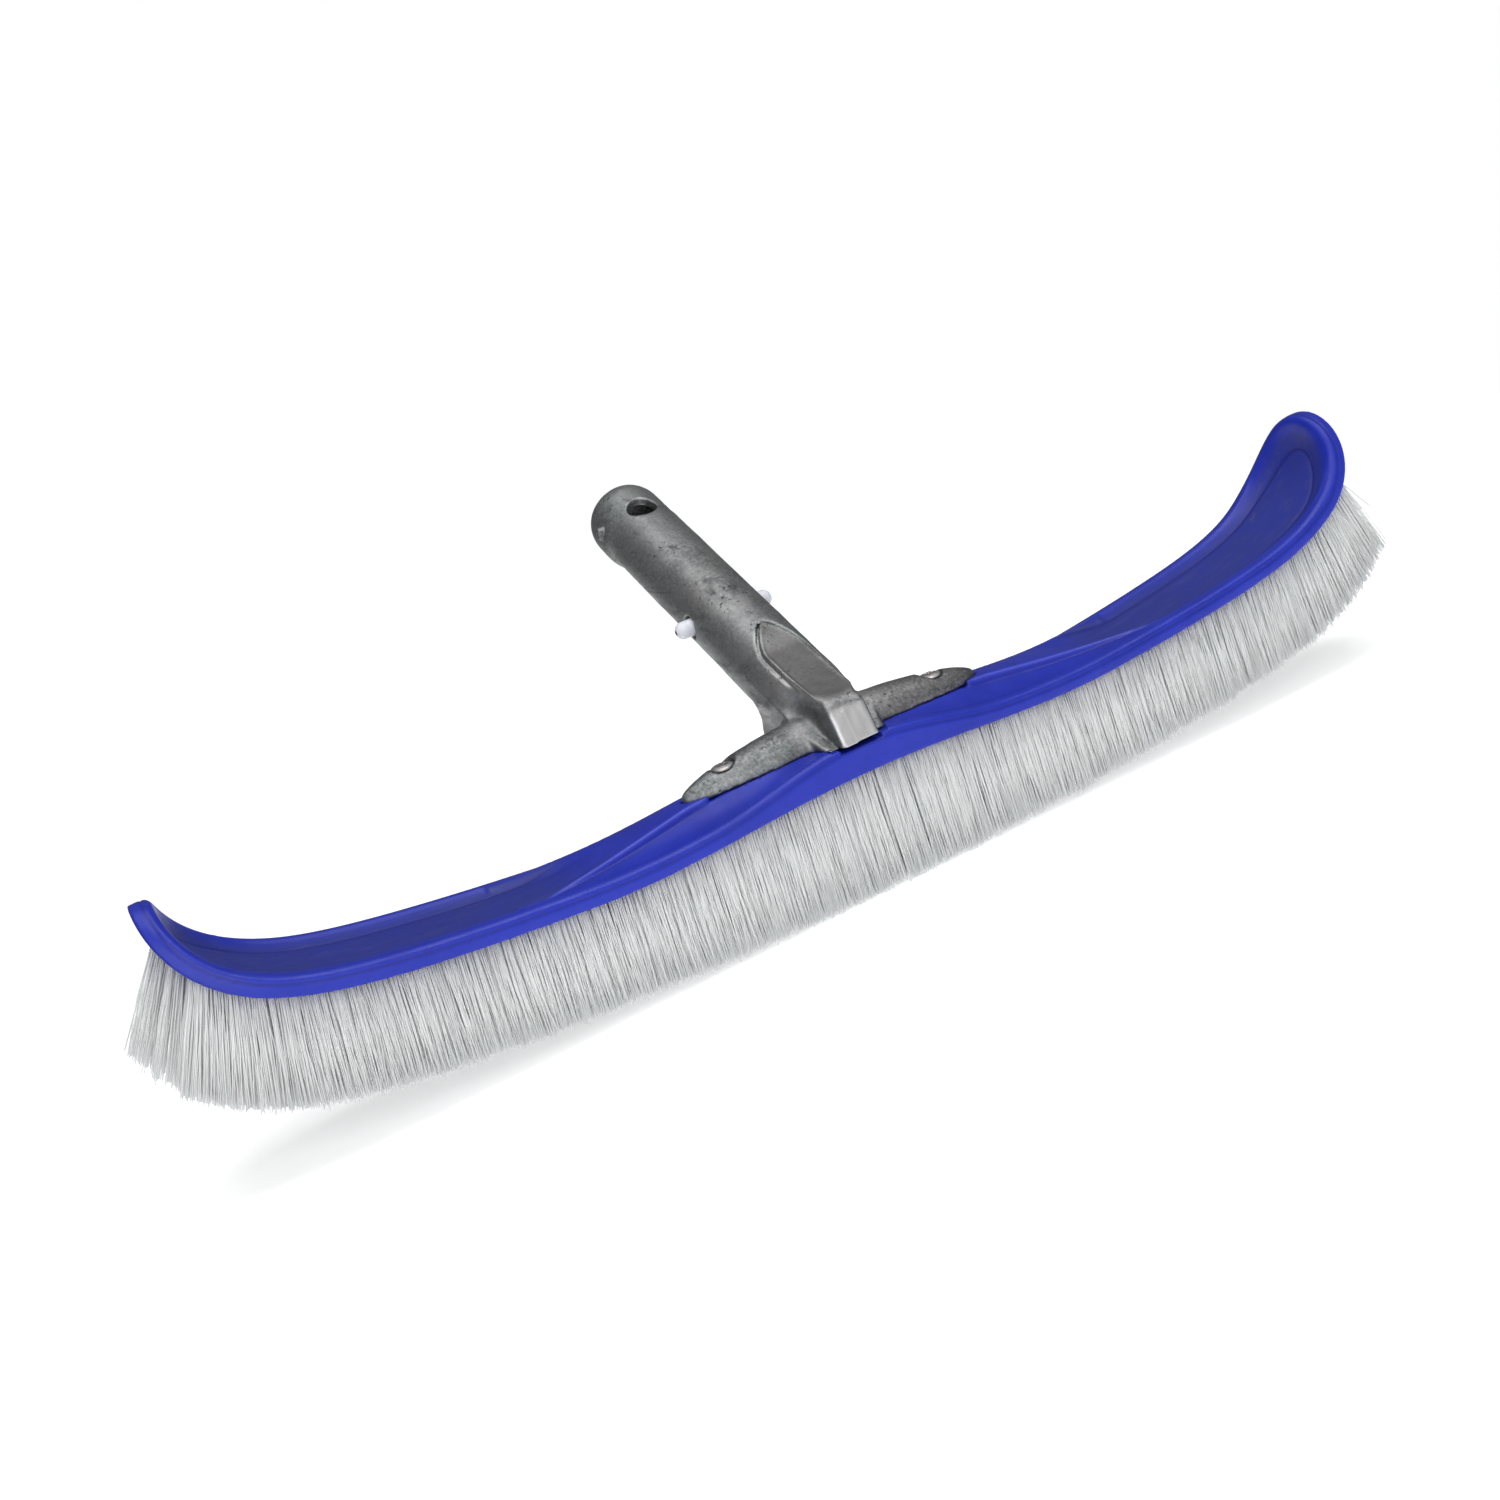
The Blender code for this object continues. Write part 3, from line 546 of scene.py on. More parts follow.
def make_casting():
    half = ((0, 5, 0.66), (5, 9.5, 0.42), (9.5, 17.5, 0.66), (17.5, 35, 0.9), (35, 45, 0.5), (45, 57.5, 0.8))
    x = steps(*((-end, -start, step) for start, end, step in reversed(half)), *half)
    t = steps((-26, 46, 0.62), (46, 64, 1.2), (64, 80, 0.75), (80, 124, 1.4), (124, 161, 0.72))
    u = steps((-19, 8, 0.72), (8, 17.5, 0.55))
    points, quads = surface(casting_field, (x, t, u))
    px, py, pz = tube_to_frame(*points.T)
    # The tab mask smooths the grain, adds a brushed bump and carries a painted highlight.
    tab = smooth(1 - np.abs(tab_front(py, pz)) / 0.5) * (np.abs(px) < 7.3) * (pz < 31.5)
    # The facet mask smooths the grain and carries painted shade in the material.
    facet = smooth(1 - np.abs(points[:, 2] - facet_height(points[:, 1])) / 0.5)
    facet *= smooth(0.5 - tongue_edge(px, points[:, 1])) * (py > -16.5)
    # Darker low down by the back, and in mottled patches on the neck's sides.
    hollow = smooth((24 - pz) / 6) * (np.abs(py) < 14) * (np.abs(px) < 20)
    flank = smooth(1 - (np.abs(np.abs(px) - 9.5)) / 4) * smooth(1 - np.abs(py + 4) / 11) * (pz < 36)
    # Painted shade: this mask darkens the wings in the material.
    wing = smooth((np.abs(px) - 14) / 8) * (pz < 28) * (np.abs(py) < 12)
    attributes = {"tab": tab, "facet": facet, "wing": wing, "low_side_darkening": np.maximum(hollow * 0.5, flank)}
    return mesh_of("handle_cast_body", np.stack([px, py, pz], 1), quads, attributes)


# ---------------------------------------------------------------- clip and screws

def rounded_box(x, y, z, half, r):
    dx, dy, dz = np.abs(x) - half[0] + r, np.abs(y) - half[1] + r, np.abs(z) - half[2] + r
    out = np.sqrt(np.maximum(dx, 0) ** 2 + np.maximum(dy, 0) ** 2 + np.maximum(dz, 0) ** 2)
    return out + np.minimum(np.maximum(dx, np.maximum(dy, dz)), 0) - r


def arm_field(x, t, u):
    """Right arm; x is outward, t along the tube, u up."""
    length = (ARM_END - HINGE_AT) / 2
    plate = rounded_box(x - ARM_X, t - HINGE_AT - length + 0.5, u, (ARM_HALF, length + 0.5, ARM_HIGH), 0.45)
    root = np.maximum(np.hypot(x - ARM_X, t - HINGE_AT) - ARM_HALF, np.abs(u) - ARM_HIGH)
    plate = np.maximum(plate, HINGE_AT - t)
    plate = np.minimum(plate, root)
    rib = rounded_box(x - ARM_X - 1.2, t - 57, u, (0.7, 9.0, 0.8), 0.3)
    reach = BUTTON_TIP - BUTTON_R
    stem = np.sqrt((t - BUTTON_AT) ** 2 + u * u + (x - np.clip(x, ARM_X, reach)) ** 2) - BUTTON_R
    stem = np.maximum(stem, ARM_X - 0.9 - x)
    return smin(smin(plate, rib, 0.5), stem, 0.9)


def bow_field(x, t, u):
    centre = HINGE_AT - ARM_HALF - 0.6
    ring = np.abs(np.hypot(x, t - centre) - ARM_X) - ARM_HALF
    return smax(smax(ring, t - centre, 0.2), np.abs(u) - ARM_HIGH, 0.5)


def screw_field(x, y, z):
    """Screw about the z axis, z from its head's underside."""
    r = np.hypot(x, y)
    dome = np.sqrt(r * r + (z + 6.9) ** 2) - 8.6
    head = smax(smax(dome, r - 3.85, 0.25), -z, 0.2)
    shank = np.maximum(r - 1.9 - 0.12 * np.sin(np.arctan2(y, x) + z * 2 * math.pi / THREAD), z - 0.4)
    taper = (r * 0.8 + (SCREW_TIP - SCREW_SEAT - SCREW_LIFT - z) * 0.6 - 0.4)
    shank = smax(shank, taper, 0.3)
    body = smin(head, shank, 0.3)
    depth = 1.9 - 1.25 * (1 - np.minimum(r / 2.4, 1) ** 2)
    cut = np.minimum(
        np.maximum(np.abs(x) - 0.42 - 0.16 * (z - 0.8), np.abs(y) - 2.2),
        np.maximum(np.abs(y) - 0.42 - 0.16 * (z - 0.8), np.abs(x) - 2.2),
    )
    cut = np.maximum(cut, depth - z)
    return smax(body, -cut, 0.12)


def make_arm(side, label):
    axes = (
        steps((6.0, 19.3, 0.42)), steps((HINGE_AT - 2, HINGE_AT + 28, 0.8), (HINGE_AT + 28, 79.5, 0.42)),
        steps((-5.5, 5.5, 0.42)),
    )
    points, quads = surface(arm_field, axes)
    if side < 0:
        points[:, 0] *= -1
        quads = quads[:, ::-1]
    return mesh_of(f"clip_arm_{label}_nylon", np.stack(tube_to_frame(*points.T), 1), quads)


def make_bow():
    axes = (steps((-10, 10, 0.42)), steps((26, 38.6, 0.42)), steps((-5.5, 5.5, 0.6)))
    points, quads = surface(bow_field, axes)
    return mesh_of("clip_bow_nylon", np.stack(tube_to_frame(*points.T), 1), quads)


def make_screw(side, label, turn):
    axes = (steps((-4.6, 4.6, 0.17)), steps((-4.6, 4.6, 0.17)), steps((-13.4, -0.6, 0.4), (-0.6, 2.5, 0.15)))
    points, quads = surface(screw_field, axes)
    cos, sin = math.cos(turn), math.sin(turn)
    x = points[:, 0] * cos - points[:, 1] * sin + side * SCREW_X
    y = points[:, 0] * sin + points[:, 1] * cos
    middle = np.hypot(points[:, 0], points[:, 1]) < 2.4
    # Painted shade in the cross recess of the head.
    slot = smooth((1.75 - points[:, 2]) / 0.5) * middle * (points[:, 2] > 0.3)
    placed = np.stack([x, y, points[:, 2] + SCREW_SEAT + SCREW_LIFT], 1)
    return mesh_of(f"screw_{label}_steel", placed, quads, {"recess_shade": slot})


# ---------------------------------------------------------------- bristles

def lean_at(s):
    return FAN * curve_at(s)[2]


def zone_of(place):
    zone = sum(abs(place) > last for last, _ in ZONES[:-1])
    label = ZONES[zone][1]
    return label if zone == 0 else f"{label}_{'left' if place < 0 else 'right'}"


FILAMENTS = 300     # in each tuft of the two outer rows
INNER_SHARE = 0.4                     # the hidden inner rows are thinner
RINGS, SIDES = 3, 4
ROOT_A, ROOT_B = 5.2, 2.7             # half length and half width of a tuft's root
CLUMPS, CLUMP_A, CLUMP_B = 6, 5.4, 3.8
ROOT_IN = 1.2                         # roots start this far inside the back
FACE_GAP, TIP_SLACK = 0.3, 0.6        # lengths count from just under the back; most a tip passes the trim
FLAT_TO = 130                         # the trim holds out to here
LAST_WIDTH_AT = 225.0                 # tufts further out stand as wide as those here


def tuft_lines(rng, s, y, dense):
    """Centre lines of one tuft's filaments, as points (filament, ring, 3)."""
    count = int(FILAMENTS * dense)
    root_a, root_b = rng.uniform(-ROOT_A, ROOT_A, count), rng.uniform(-ROOT_B, ROOT_B, count)
    clump_angle = rng.uniform(0, 2 * math.pi, CLUMPS)
    clump_r = rng.uniform(0.35, 0.95, CLUMPS)
    clump_a, clump_b = clump_r * np.cos(clump_angle) * CLUMP_A, clump_r * np.sin(clump_angle) * CLUMP_B
    tip_a = root_a * 1.08 + rng.normal(0, 0.45, count)
    tip_b = root_b * 1.35 + rng.normal(0, 0.4, count)
    near = np.argmin((tip_a[:, None] - clump_a) ** 2 + (tip_b[:, None] - clump_b) ** 2, 1)
    pull = rng.uniform(0.0, 0.08, count)
    tip_a += (clump_a[near] - tip_a) * pull
    tip_b += (clump_b[near] - tip_b) * pull
    extra = rng.normal(0, 0.45, count) - 0.1
    odd = rng.uniform(0, 1, count)
    extra = np.where(odd > 0.975, rng.uniform(0.6, 1.9, count), extra)
    extra = np.where(odd < 0.04, rng.uniform(-3.0, -1.0, count), extra)
    extra += rng.normal(0, 0.25)
    lean = lean_at(s + tip_a) + rng.normal(0, 0.012, count)
    rx, ry, rz = on_back(s + root_a, y + root_b, np.full(count, ROOT_IN))
    length = BRISTLE + arch_at(s + tip_a) + extra
    bx, _, bz = on_back(s + tip_a, y + tip_b, np.full(count, -FACE_GAP))
    tx = bx + np.sin(lean) * length
    tz = bz - np.cos(lean) * length
    ty = y + tip_b + rng.normal(0, 0.15, count)
    floor = np.where(np.abs(tx) < FLAT_TO, -BRISTLE - FACE_GAP - TIP_SLACK, -1e3)
    tz = np.maximum(tz, floor + rng.uniform(0, 0.25, count))
    share = np.linspace(0, 1, RINGS)[None, :]
    root = np.stack([rx, ry, rz], 1)[:, None, :]
    tip = np.stack([tx, ty, tz], 1)[:, None, :]
    line = root + (tip - root) * share[..., None]
    bow = (share * (1 - share) * 4)[..., None]
    splay = np.stack([rng.normal(0, 0.5, count), rng.normal(0, 0.15, count), np.zeros(count)], 1)
    return line + bow * splay[:, None, :]


def tubes(lines, thickness):
    """Closed square-section tubes along lines, as points and quads."""
    count, rings, _ = lines.shape
    run = lines[:, -1] - lines[:, 0]
    run /= np.linalg.norm(run, axis=1)[:, None]
    side = np.cross(run, np.array([0.35, 1.0, 0.1]))
    side /= np.linalg.norm(side, axis=1)[:, None]
    over = np.cross(run, side)
    angles = 2 * math.pi * np.arange(SIDES) / SIDES
    taper = np.linspace(1.0, 0.78, rings)[None, :, None, None]
    ring = side[:, None, None, :] * np.cos(angles)[None, None, :, None]
    ring = ring + over[:, None, None, :] * np.sin(angles)[None, None, :, None]
    points = lines[:, :, None, :] + ring * taper * thickness[:, None, None, None]
    base = (np.arange(count) * rings * SIDES)[:, None, None]
    i = np.arange(rings - 1)[None, :, None] * SIDES
    j = np.arange(SIDES)[None, None, :]
    k = (j + 1) % SIDES
    corners = [base + i + j, base + i + k, base + i + k + SIDES, base + i + j + SIDES]
    quads = np.stack(corners, -1).reshape(-1, 4)
    first = base[:, 0] + np.arange(SIDES)[::-1]
    last = base[:, 0] + (rings - 1) * SIDES + np.arange(SIDES)
    return points.reshape(-1, 3), np.concatenate([quads, first, last])


def make_bristles(name, row, y_share, places, rng):
    lines, tones = [], []
    for place in places:
        s = place * PITCH
        y = y_share * half_width(min(abs(s), LAST_WIDTH_AT))
        made = tuft_lines(rng, s, y, 1.0 if row in (1, 5) else INNER_SHARE)
        lines.append(made)
        tones.append(np.clip(rng.normal(0.5, 0.22, len(made)) + rng.normal(0, 0.08), 0, 1))
        if abs(place) >= max(places, key=abs) - 0.1 and row in (2, 3):
            stray = made[:2].copy()
            fling = np.sign(place) * rng.uniform(2.5, 6.0, (2, 1)) * np.linspace(0, 1, RINGS)[None] ** 1.2
            stray[..., 0] += fling
            lines.append(stray)
            tones.append(np.array([0.6, 0.4]))
    lines, tones = np.concatenate(lines), np.concatenate(tones)
    thickness = rng.uniform(0.15, 0.20, len(lines)) * 1.0
    points, quads = tubes(lines, thickness)
    share = np.broadcast_to(np.linspace(0, 1, RINGS)[None, :, None], (len(lines), RINGS, SIDES)).ravel()
    tone = np.repeat(tones, RINGS * SIDES)
    return mesh_of(name, points, quads, {"tone": tone, "share": share})


# ---------------------------------------------------------------- materials

class Shader:
    """Small helper for building a Principled material's nodes."""

    def __init__(self, name, **values):
        self.material = bpy.data.materials.new(name)
        self.material.use_nodes = True
        self.tree = self.material.node_tree
        self.main = self.tree.nodes["Principled BSDF"]
        self.coords = self.tree.nodes.new("ShaderNodeTexCoord").outputs["Object"]
        for key, value in values.items():
            self.main.inputs[key.replace("_", " ")].default_value = value

    def node(self, kind, inputs=None, **settings):
        made = self.tree.nodes.new(kind)
        for key, value in settings.items():
            setattr(made, key, value)
        for key, value in (inputs or {}).items():
            if isinstance(value, bpy.types.NodeSocket):
                self.tree.links.new(value, made.inputs[key])
            else:
                made.inputs[key].default_value = value
        return made

    def attribute(self, name):
        return self.node("ShaderNodeAttribute", attribute_name=name).outputs["Fac"]

    def stretched(self, scale, turn=(0, 0, 0)):
        inputs = {"Vector": self.coords, "Scale": scale, "Rotation": turn}
        return self.node("ShaderNodeMapping", inputs).outputs["Vector"]

    def noise(self, scale, detail=3.0, rough=0.55, vector=None, distortion=0.0):
        inputs = {
            "Vector": vector or self.coords, "Scale": scale, "Detail": detail,
            "Roughness": rough, "Distortion": distortion,
        }
        return self.node("ShaderNodeTexNoise", inputs).outputs["Fac"]

    def spots(self, scale, vector=None):
        inputs = {"Vector": vector or self.coords, "Scale": scale}
        return self.node("ShaderNodeTexVoronoi", inputs).outputs["Distance"]

    def ramp(self, value, low, high, to_low=0.0, to_high=1.0):
        inputs = {"Value": value, "From Min": low, "From Max": high, "To Min": to_low, "To Max": to_high}
        return self.node("ShaderNodeMapRange", inputs).outputs["Result"]

    def maths(self, operation, a, b):
        return self.node("ShaderNodeMath", {0: a, 1: b}, operation=operation).outputs["Value"]

    def mix(self, factor, a, b):
        made = self.node("ShaderNodeMix", data_type="RGBA")
        # the colour sockets share their names with the float ones, so they are found by identifier
        sockets = {socket.identifier: socket for socket in made.inputs}
        for identifier, value in (("Factor_Float", factor), ("A_Color", a), ("B_Color", b)):
            self.put(sockets[identifier], value)
        return next(out for out in made.outputs if out.identifier == "Result_Color")

    def put(self, socket, value):
        if isinstance(value, bpy.types.NodeSocket):
            self.tree.links.new(value, socket)
        elif isinstance(value, (int, float)):
            socket.default_value = value
        else:
            socket.default_value = (*value, 1)

    def colour(self, value):
        self.put(self.main.inputs["Base Color"], value)

    def roughness(self, value):
        self.put(self.main.inputs["Roughness"], value)

    def bump(self, *layers):
        """Layers are (height, strength, distance in mm)."""
        normal = None
        for height, strength, distance in layers:
            inputs = {"Height": height, "Strength": strength, "Distance": distance * MM}
            if normal is not None:
                inputs["Normal"] = normal
            normal = self.node("ShaderNodeBump", inputs).outputs["Normal"]
        self.tree.links.new(normal, self.main.inputs["Normal"])


def blue_plastic():
    m = Shader("blue_plastic", Specular_IOR_Level=0.33)
    bowl, rim, crease_shade, spine = (m.attribute(name) for name in ("bowl", "rim", "crease_shade", "spine"))
    cloud = m.noise(38, 4, 0.6)
    base = m.mix(m.ramp(cloud, 0.35, 0.68), (0.006, 0.017, 0.30), (0.010, 0.024, 0.37))
    base = m.mix(m.ramp(m.noise(160, 3, 0.6), 0.45, 0.8, 0.0, 0.3), base, (0.020, 0.034, 0.38))
    # Painted shade: the dish is painted darker where it faces up, and a duller grey.
    dish_dull_and_shade = m.maths("MULTIPLY", bowl, m.ramp(m.noise(70, 5, 0.7), 0.25, 0.7, 0.6, 1.0))
    base = m.mix(m.maths("MULTIPLY", dish_dull_and_shade, 0.9), base, (0.018, 0.028, 0.20))
    streaks = m.noise(60, 5, 0.7, m.stretched((0.18, 5.0, 5.0), (0, 0, 0.12)))
    base = m.mix(m.maths("MULTIPLY", m.ramp(streaks, 0.54, 0.72, 0.0, 0.4), bowl), base, (0.065, 0.075, 0.19))
    specks = m.ramp(m.spots(520), 0.045, 0.07, 1.0, 0.0)
    rare = m.maths("MULTIPLY", specks, m.ramp(m.noise(55, 2), 0.56, 0.62, 0.0, 0.4))
    base = m.mix(rare, base, (0.22, 0.24, 0.42))
    scuffs = m.ramp(m.noise(48, 6, 0.75, m.stretched((0.5, 2.2, 2.2), (0, 0, -0.3))), 0.60, 0.72, 0.0, 0.3)
    base = m.mix(scuffs, base, (0.045, 0.055, 0.30))
    # Painted shade in the creases and grooves.
    base = m.mix(m.maths("MULTIPLY", crease_shade, 0.75), base, (0.004, 0.008, 0.15))
    # Painted highlight along the spine's edge.
    base = m.mix(m.maths("MULTIPLY", spine, 0.5), base, (0.09, 0.11, 0.62))
    m.colour(base)
    rough = m.ramp(m.noise(90, 4, 0.65), 0.3, 0.75, 0.32, 0.46)
    rough = m.maths("ADD", rough, m.maths("MULTIPLY", bowl, 0.10))
    rough = m.maths("SUBTRACT", rough, m.maths("MULTIPLY", rim, 0.03))
    m.roughness(rough)
    scratches = m.noise(85, 4, 0.8, m.stretched((0.12, 9.0, 9.0), (0, 0, 0.2)))
    m.bump(
        (m.noise(1500, 2, 0.5), 0.12, 0.12),
        (m.noise(120, 3, 0.5), 0.18, 0.30),
        (scratches, 0.10, 0.16),
    )
    return m.material


def cast_metal():
    m = Shader("cast_metal", Metallic=1.0)
    tab, facet, low_side_darkening, wing = (m.attribute(name) for name in ("tab", "facet", "low_side_darkening", "wing"))
    tilt = (-(math.pi / 2 - LEAN), 0, 0)
    along = m.stretched((1.0, 0.28, 1.0), tilt)
    cloud = m.noise(75, 6, 0.62, along, 0.4)
    base = m.mix(m.ramp(cloud, 0.36, 0.64), (0.135, 0.138, 0.141), (0.31, 0.308, 0.312))
    # Painted shade: the wings are given a darker metal tone.
    base = m.mix(m.maths("MULTIPLY", wing, 0.6), base, (0.085, 0.087, 0.093))
    patches = m.noise(26, 5, 0.6, along, 0.6)
    base = m.mix(m.ramp(patches, 0.42, 0.60, 0.0, 0.6), base, (0.19, 0.222, 0.219))
    warm = m.noise(18, 3, 0.5)
    base = m.mix(m.ramp(warm, 0.5, 0.7, 0.0, 0.4), base, (0.235, 0.218, 0.214))
    speckle = m.ramp(m.noise(900, 3, 0.7), 0.42, 0.62, 0.0, 0.4)
    base = m.mix(speckle, base, (0.42, 0.42, 0.42))
    streak = m.noise(140, 5, 0.7, m.stretched((1.0, 0.10, 1.0), tilt), 0.5)
    dark = m.maths("MULTIPLY", m.ramp(streak, 0.52, 0.66), m.ramp(m.noise(32, 3, 0.6), 0.40, 0.56))
    base = m.mix(m.maths("MULTIPLY", dark, 0.75), base, (0.05, 0.054, 0.056))
    where = m.ramp(m.noise(48, 3, 0.6), 0.46, 0.58)
    pits = m.maths("MULTIPLY", m.ramp(m.noise(560, 3, 0.6), 0.60, 0.67), where)
    base = m.mix(m.maths("MULTIPLY", pits, 0.75), base, (0.04, 0.042, 0.045))
    # Mottled darkening, low down by the back and on the neck's sides.
    mottled_darkening = m.maths("MULTIPLY", low_side_darkening, m.ramp(m.noise(110, 5, 0.7), 0.30, 0.62, 0.25, 0.95))
    base = m.mix(m.maths("MULTIPLY", mottled_darkening, 0.6), base, (0.085, 0.095, 0.095))
    # Painted shade: the flat facet is given a darker metal tone.
    base = m.mix(m.maths("MULTIPLY", facet, 0.75), base, (0.135, 0.13, 0.128))
    brushed = m.noise(700, 3, 0.6, m.stretched((1.0, 0.05, 0.05), (0, 0, 0.05)))
    # Painted highlight: the front tab is given a much lighter metal tone, streaked by a brushed grain.
    tab_highlight = m.mix(m.ramp(brushed, 0.3, 0.7), (0.48, 0.476, 0.48), (0.62, 0.615, 0.62))
    base = m.mix(m.maths("MULTIPLY", tab, 0.9), base, tab_highlight)
    m.colour(base)
    rough = m.ramp(cloud, 0.3, 0.7, 0.56, 0.44)
    rough = m.maths("ADD", rough, m.maths("MULTIPLY", m.maths("ADD", dark, pits), 0.18))
    m.roughness(rough)
    smoothness = m.ramp(m.maths("ADD", tab, facet), 0.0, 1.0, 1.0, 0.45)
    grain = m.maths("MULTIPLY", m.noise(420, 5, 0.62), smoothness)
    m.bump(
        (m.maths("MULTIPLY", m.noise(130, 4, 0.6), smoothness), 0.22, 0.35),
        (grain, 0.45, 0.20),
        (m.maths("SUBTRACT", 1.0, pits), 0.5, 0.30),
        (m.maths("MULTIPLY", brushed, tab), 0.12, 0.08),
    )
    return m.material


def filament_nylon():
    m = Shader("filament_nylon", Specular_IOR_Level=0.25)
    tone, share = m.attribute("tone"), m.attribute("share")
    base = m.mix(m.ramp(tone, 0.05, 0.95), (0.93, 0.94, 0.94), (0.975, 0.98, 0.975))
    base = m.mix(m.ramp(share, 0.80, 1.0, 0.0, 0.25), base, (0.82, 0.84, 0.87))
    fine = m.noise(300, 3, 0.6, m.stretched((1.0, 1.0, 0.12)))
    base = m.mix(m.ramp(fine, 0.4, 0.7, 0.0, 0.25), base, (0.98, 0.98, 0.97))
    m.colour(base)
    m.roughness(m.ramp(tone, 0.0, 1.0, 0.50, 0.36))
    m.bump((m.noise(900, 2, 0.5, m.stretched((1.0, 1.0, 0.15))), 0.15, 0.05))
    through = m.node("ShaderNodeBsdfTranslucent", {"Color": base})
    both = m.node("ShaderNodeMixShader", {"Fac": 0.5, 1: m.main.outputs["BSDF"], 2: through.outputs["BSDF"]})
    m.tree.links.new(both.outputs["Shader"], m.tree.nodes["Material Output"].inputs["Surface"])
    return m.material


def clip_plastic():
    m = Shader("clip_plastic", Specular_IOR_Level=0.5, Subsurface_Weight=0.35, Subsurface_Scale=0.004)
    m.main.inputs["Subsurface Radius"].default_value = (1.0, 1.0, 1.1)
    base = m.mix(m.ramp(m.noise(180, 4, 0.6), 0.3, 0.7), (0.62, 0.63, 0.68), (0.72, 0.73, 0.77))
    base = m.mix(m.ramp(m.noise(420, 4, 0.7), 0.58, 0.70, 0.0, 0.25), base, (0.45, 0.45, 0.48))
    m.colour(base)
    m.roughness(m.ramp(m.noise(250, 3, 0.6), 0.3, 0.7, 0.30, 0.44))
    m.bump((m.noise(600, 3, 0.6), 0.12, 0.12))
    return m.material


def screw_steel():
    m = Shader("screw_steel", Metallic=1.0)
    recess_shade = m.attribute("recess_shade")
    base = m.mix(m.ramp(m.noise(380, 4, 0.6), 0.3, 0.7), (0.42, 0.415, 0.41), (0.62, 0.61, 0.60))
    # Painted shade in the cross recess.
    base = m.mix(m.maths("MULTIPLY", recess_shade, 0.75), base, (0.12, 0.11, 0.10))
    rust = m.ramp(m.noise(500, 5, 0.7), 0.62, 0.72, 0.0, 0.5)
    base = m.mix(rust, base, (0.20, 0.17, 0.14))
    m.colour(base)
    m.roughness(m.ramp(m.noise(320, 4, 0.6), 0.3, 0.7, 0.34, 0.50))
    m.bump((m.noise(1400, 3, 0.6), 0.15, 0.06))
    return m.material


# ---------------------------------------------------------------- assembly

piece("back_moulding", make_back(), "brush", "back_blue", blue_plastic(), "back")
piece("handle_cast_body", make_casting(), "brush", "cast_aluminium", cast_metal(), "handle_casting")
nylon = clip_plastic()
piece("clip_bow_nylon", make_bow(), "brush", "clip_nylon", nylon, "clip_bow")
steel = screw_steel()
for side, label, turn in ((-1, "left", 0.5), (1, "right", 1.1)):
    arm = make_arm(side, label)
    piece(f"clip_arm_{label}_nylon", arm, f"arm_{label}", "clip_nylon", nylon, f"clip_arm_{label}")
    screw = make_screw(side, label, turn)
    piece(f"screw_{label}_steel", screw, "brush", "screw_steel", steel, f"screw_{label}")

filament = filament_nylon()
for row, (y_share, last) in enumerate(zip(ROWS, LAST_TUFTS), start=1):
    strips = {}
    for place in [i - last for i in range(int(2 * last) + 1)]:
        strips.setdefault(zone_of(place), []).append(place)
    for order, (zone, places) in enumerate(strips.items()):
        name = f"bristles_row{row}_{zone}"
        made = make_bristles(name, row, y_share, places, np.random.default_rng(100 * row + order))
        piece(name, made, "brush", "bristle_nylon", filament, f"tufts_row{row}_{zone}")


# ---------------------------------------------------------------- stage, light and camera

def make_floor():
    mesh = bpy.data.meshes.new("floor")
    radius, rings, count = 2.4, 10, 64
    points = [(0, 0, 0)]
    for i in range(1, rings + 1):
        for j in range(count):
            angle = 2 * math.pi * j / count
            points.append((radius * i / rings * math.cos(angle), radius * i / rings * math.sin(angle), 0))
    faces = [(0, 1 + j, 1 + (j + 1) % count) for j in range(count)]
    for i in range(rings - 1):
        low, high = 1 + i * count, 1 + (i + 1) * count
        faces += [(low + j, high + j, high + (j + 1) % count, low + (j + 1) % count) for j in range(count)]
    mesh.from_pydata(points, [], faces)
    floor = bpy.data.objects.new("floor", mesh)
    floor.location = (0, 0, -1.0 * MM)
    bpy.context.scene.collection.objects.link(floor)
    m = Shader("floor_paper", Roughness=0.9)
    m.main.inputs["Specular IOR Level"].default_value = 0.1
    m.colour(m.mix(m.ramp(m.noise(6, 3, 0.5), 0.3, 0.7), (0.86, 0.86, 0.86), (0.88, 0.88, 0.88)))
    m.main.inputs["Emission Color"].default_value = (1, 1, 1, 1)
    m.main.inputs["Emission Strength"].default_value = 0.42
    clear = m.node("ShaderNodeBsdfTransparent")
    far = m.node("ShaderNodeVectorMath", {0: m.coords}, operation="LENGTH").outputs["Value"]
    blend = m.node("ShaderNodeMixShader", {
        "Fac": m.ramp(far, 0.30, 0.75), 1: m.main.outputs["BSDF"], 2: clear.outputs["BSDF"],
    })
    m.tree.links.new(blend.outputs["Shader"], m.tree.nodes["Material Output"].inputs["Surface"])
    mesh.materials.append(m.material)


# name, place in metres, size in metres, power in watts
LAMPS = (
    ("front", (-0.5, -1.2, 0.55), 1.4, 12.0),
    ("top", (-0.12, 0.0, 1.25), 0.9, 5.5),
    ("high", (0.43, -0.3, 1.2), 0.5, 3.0),
)


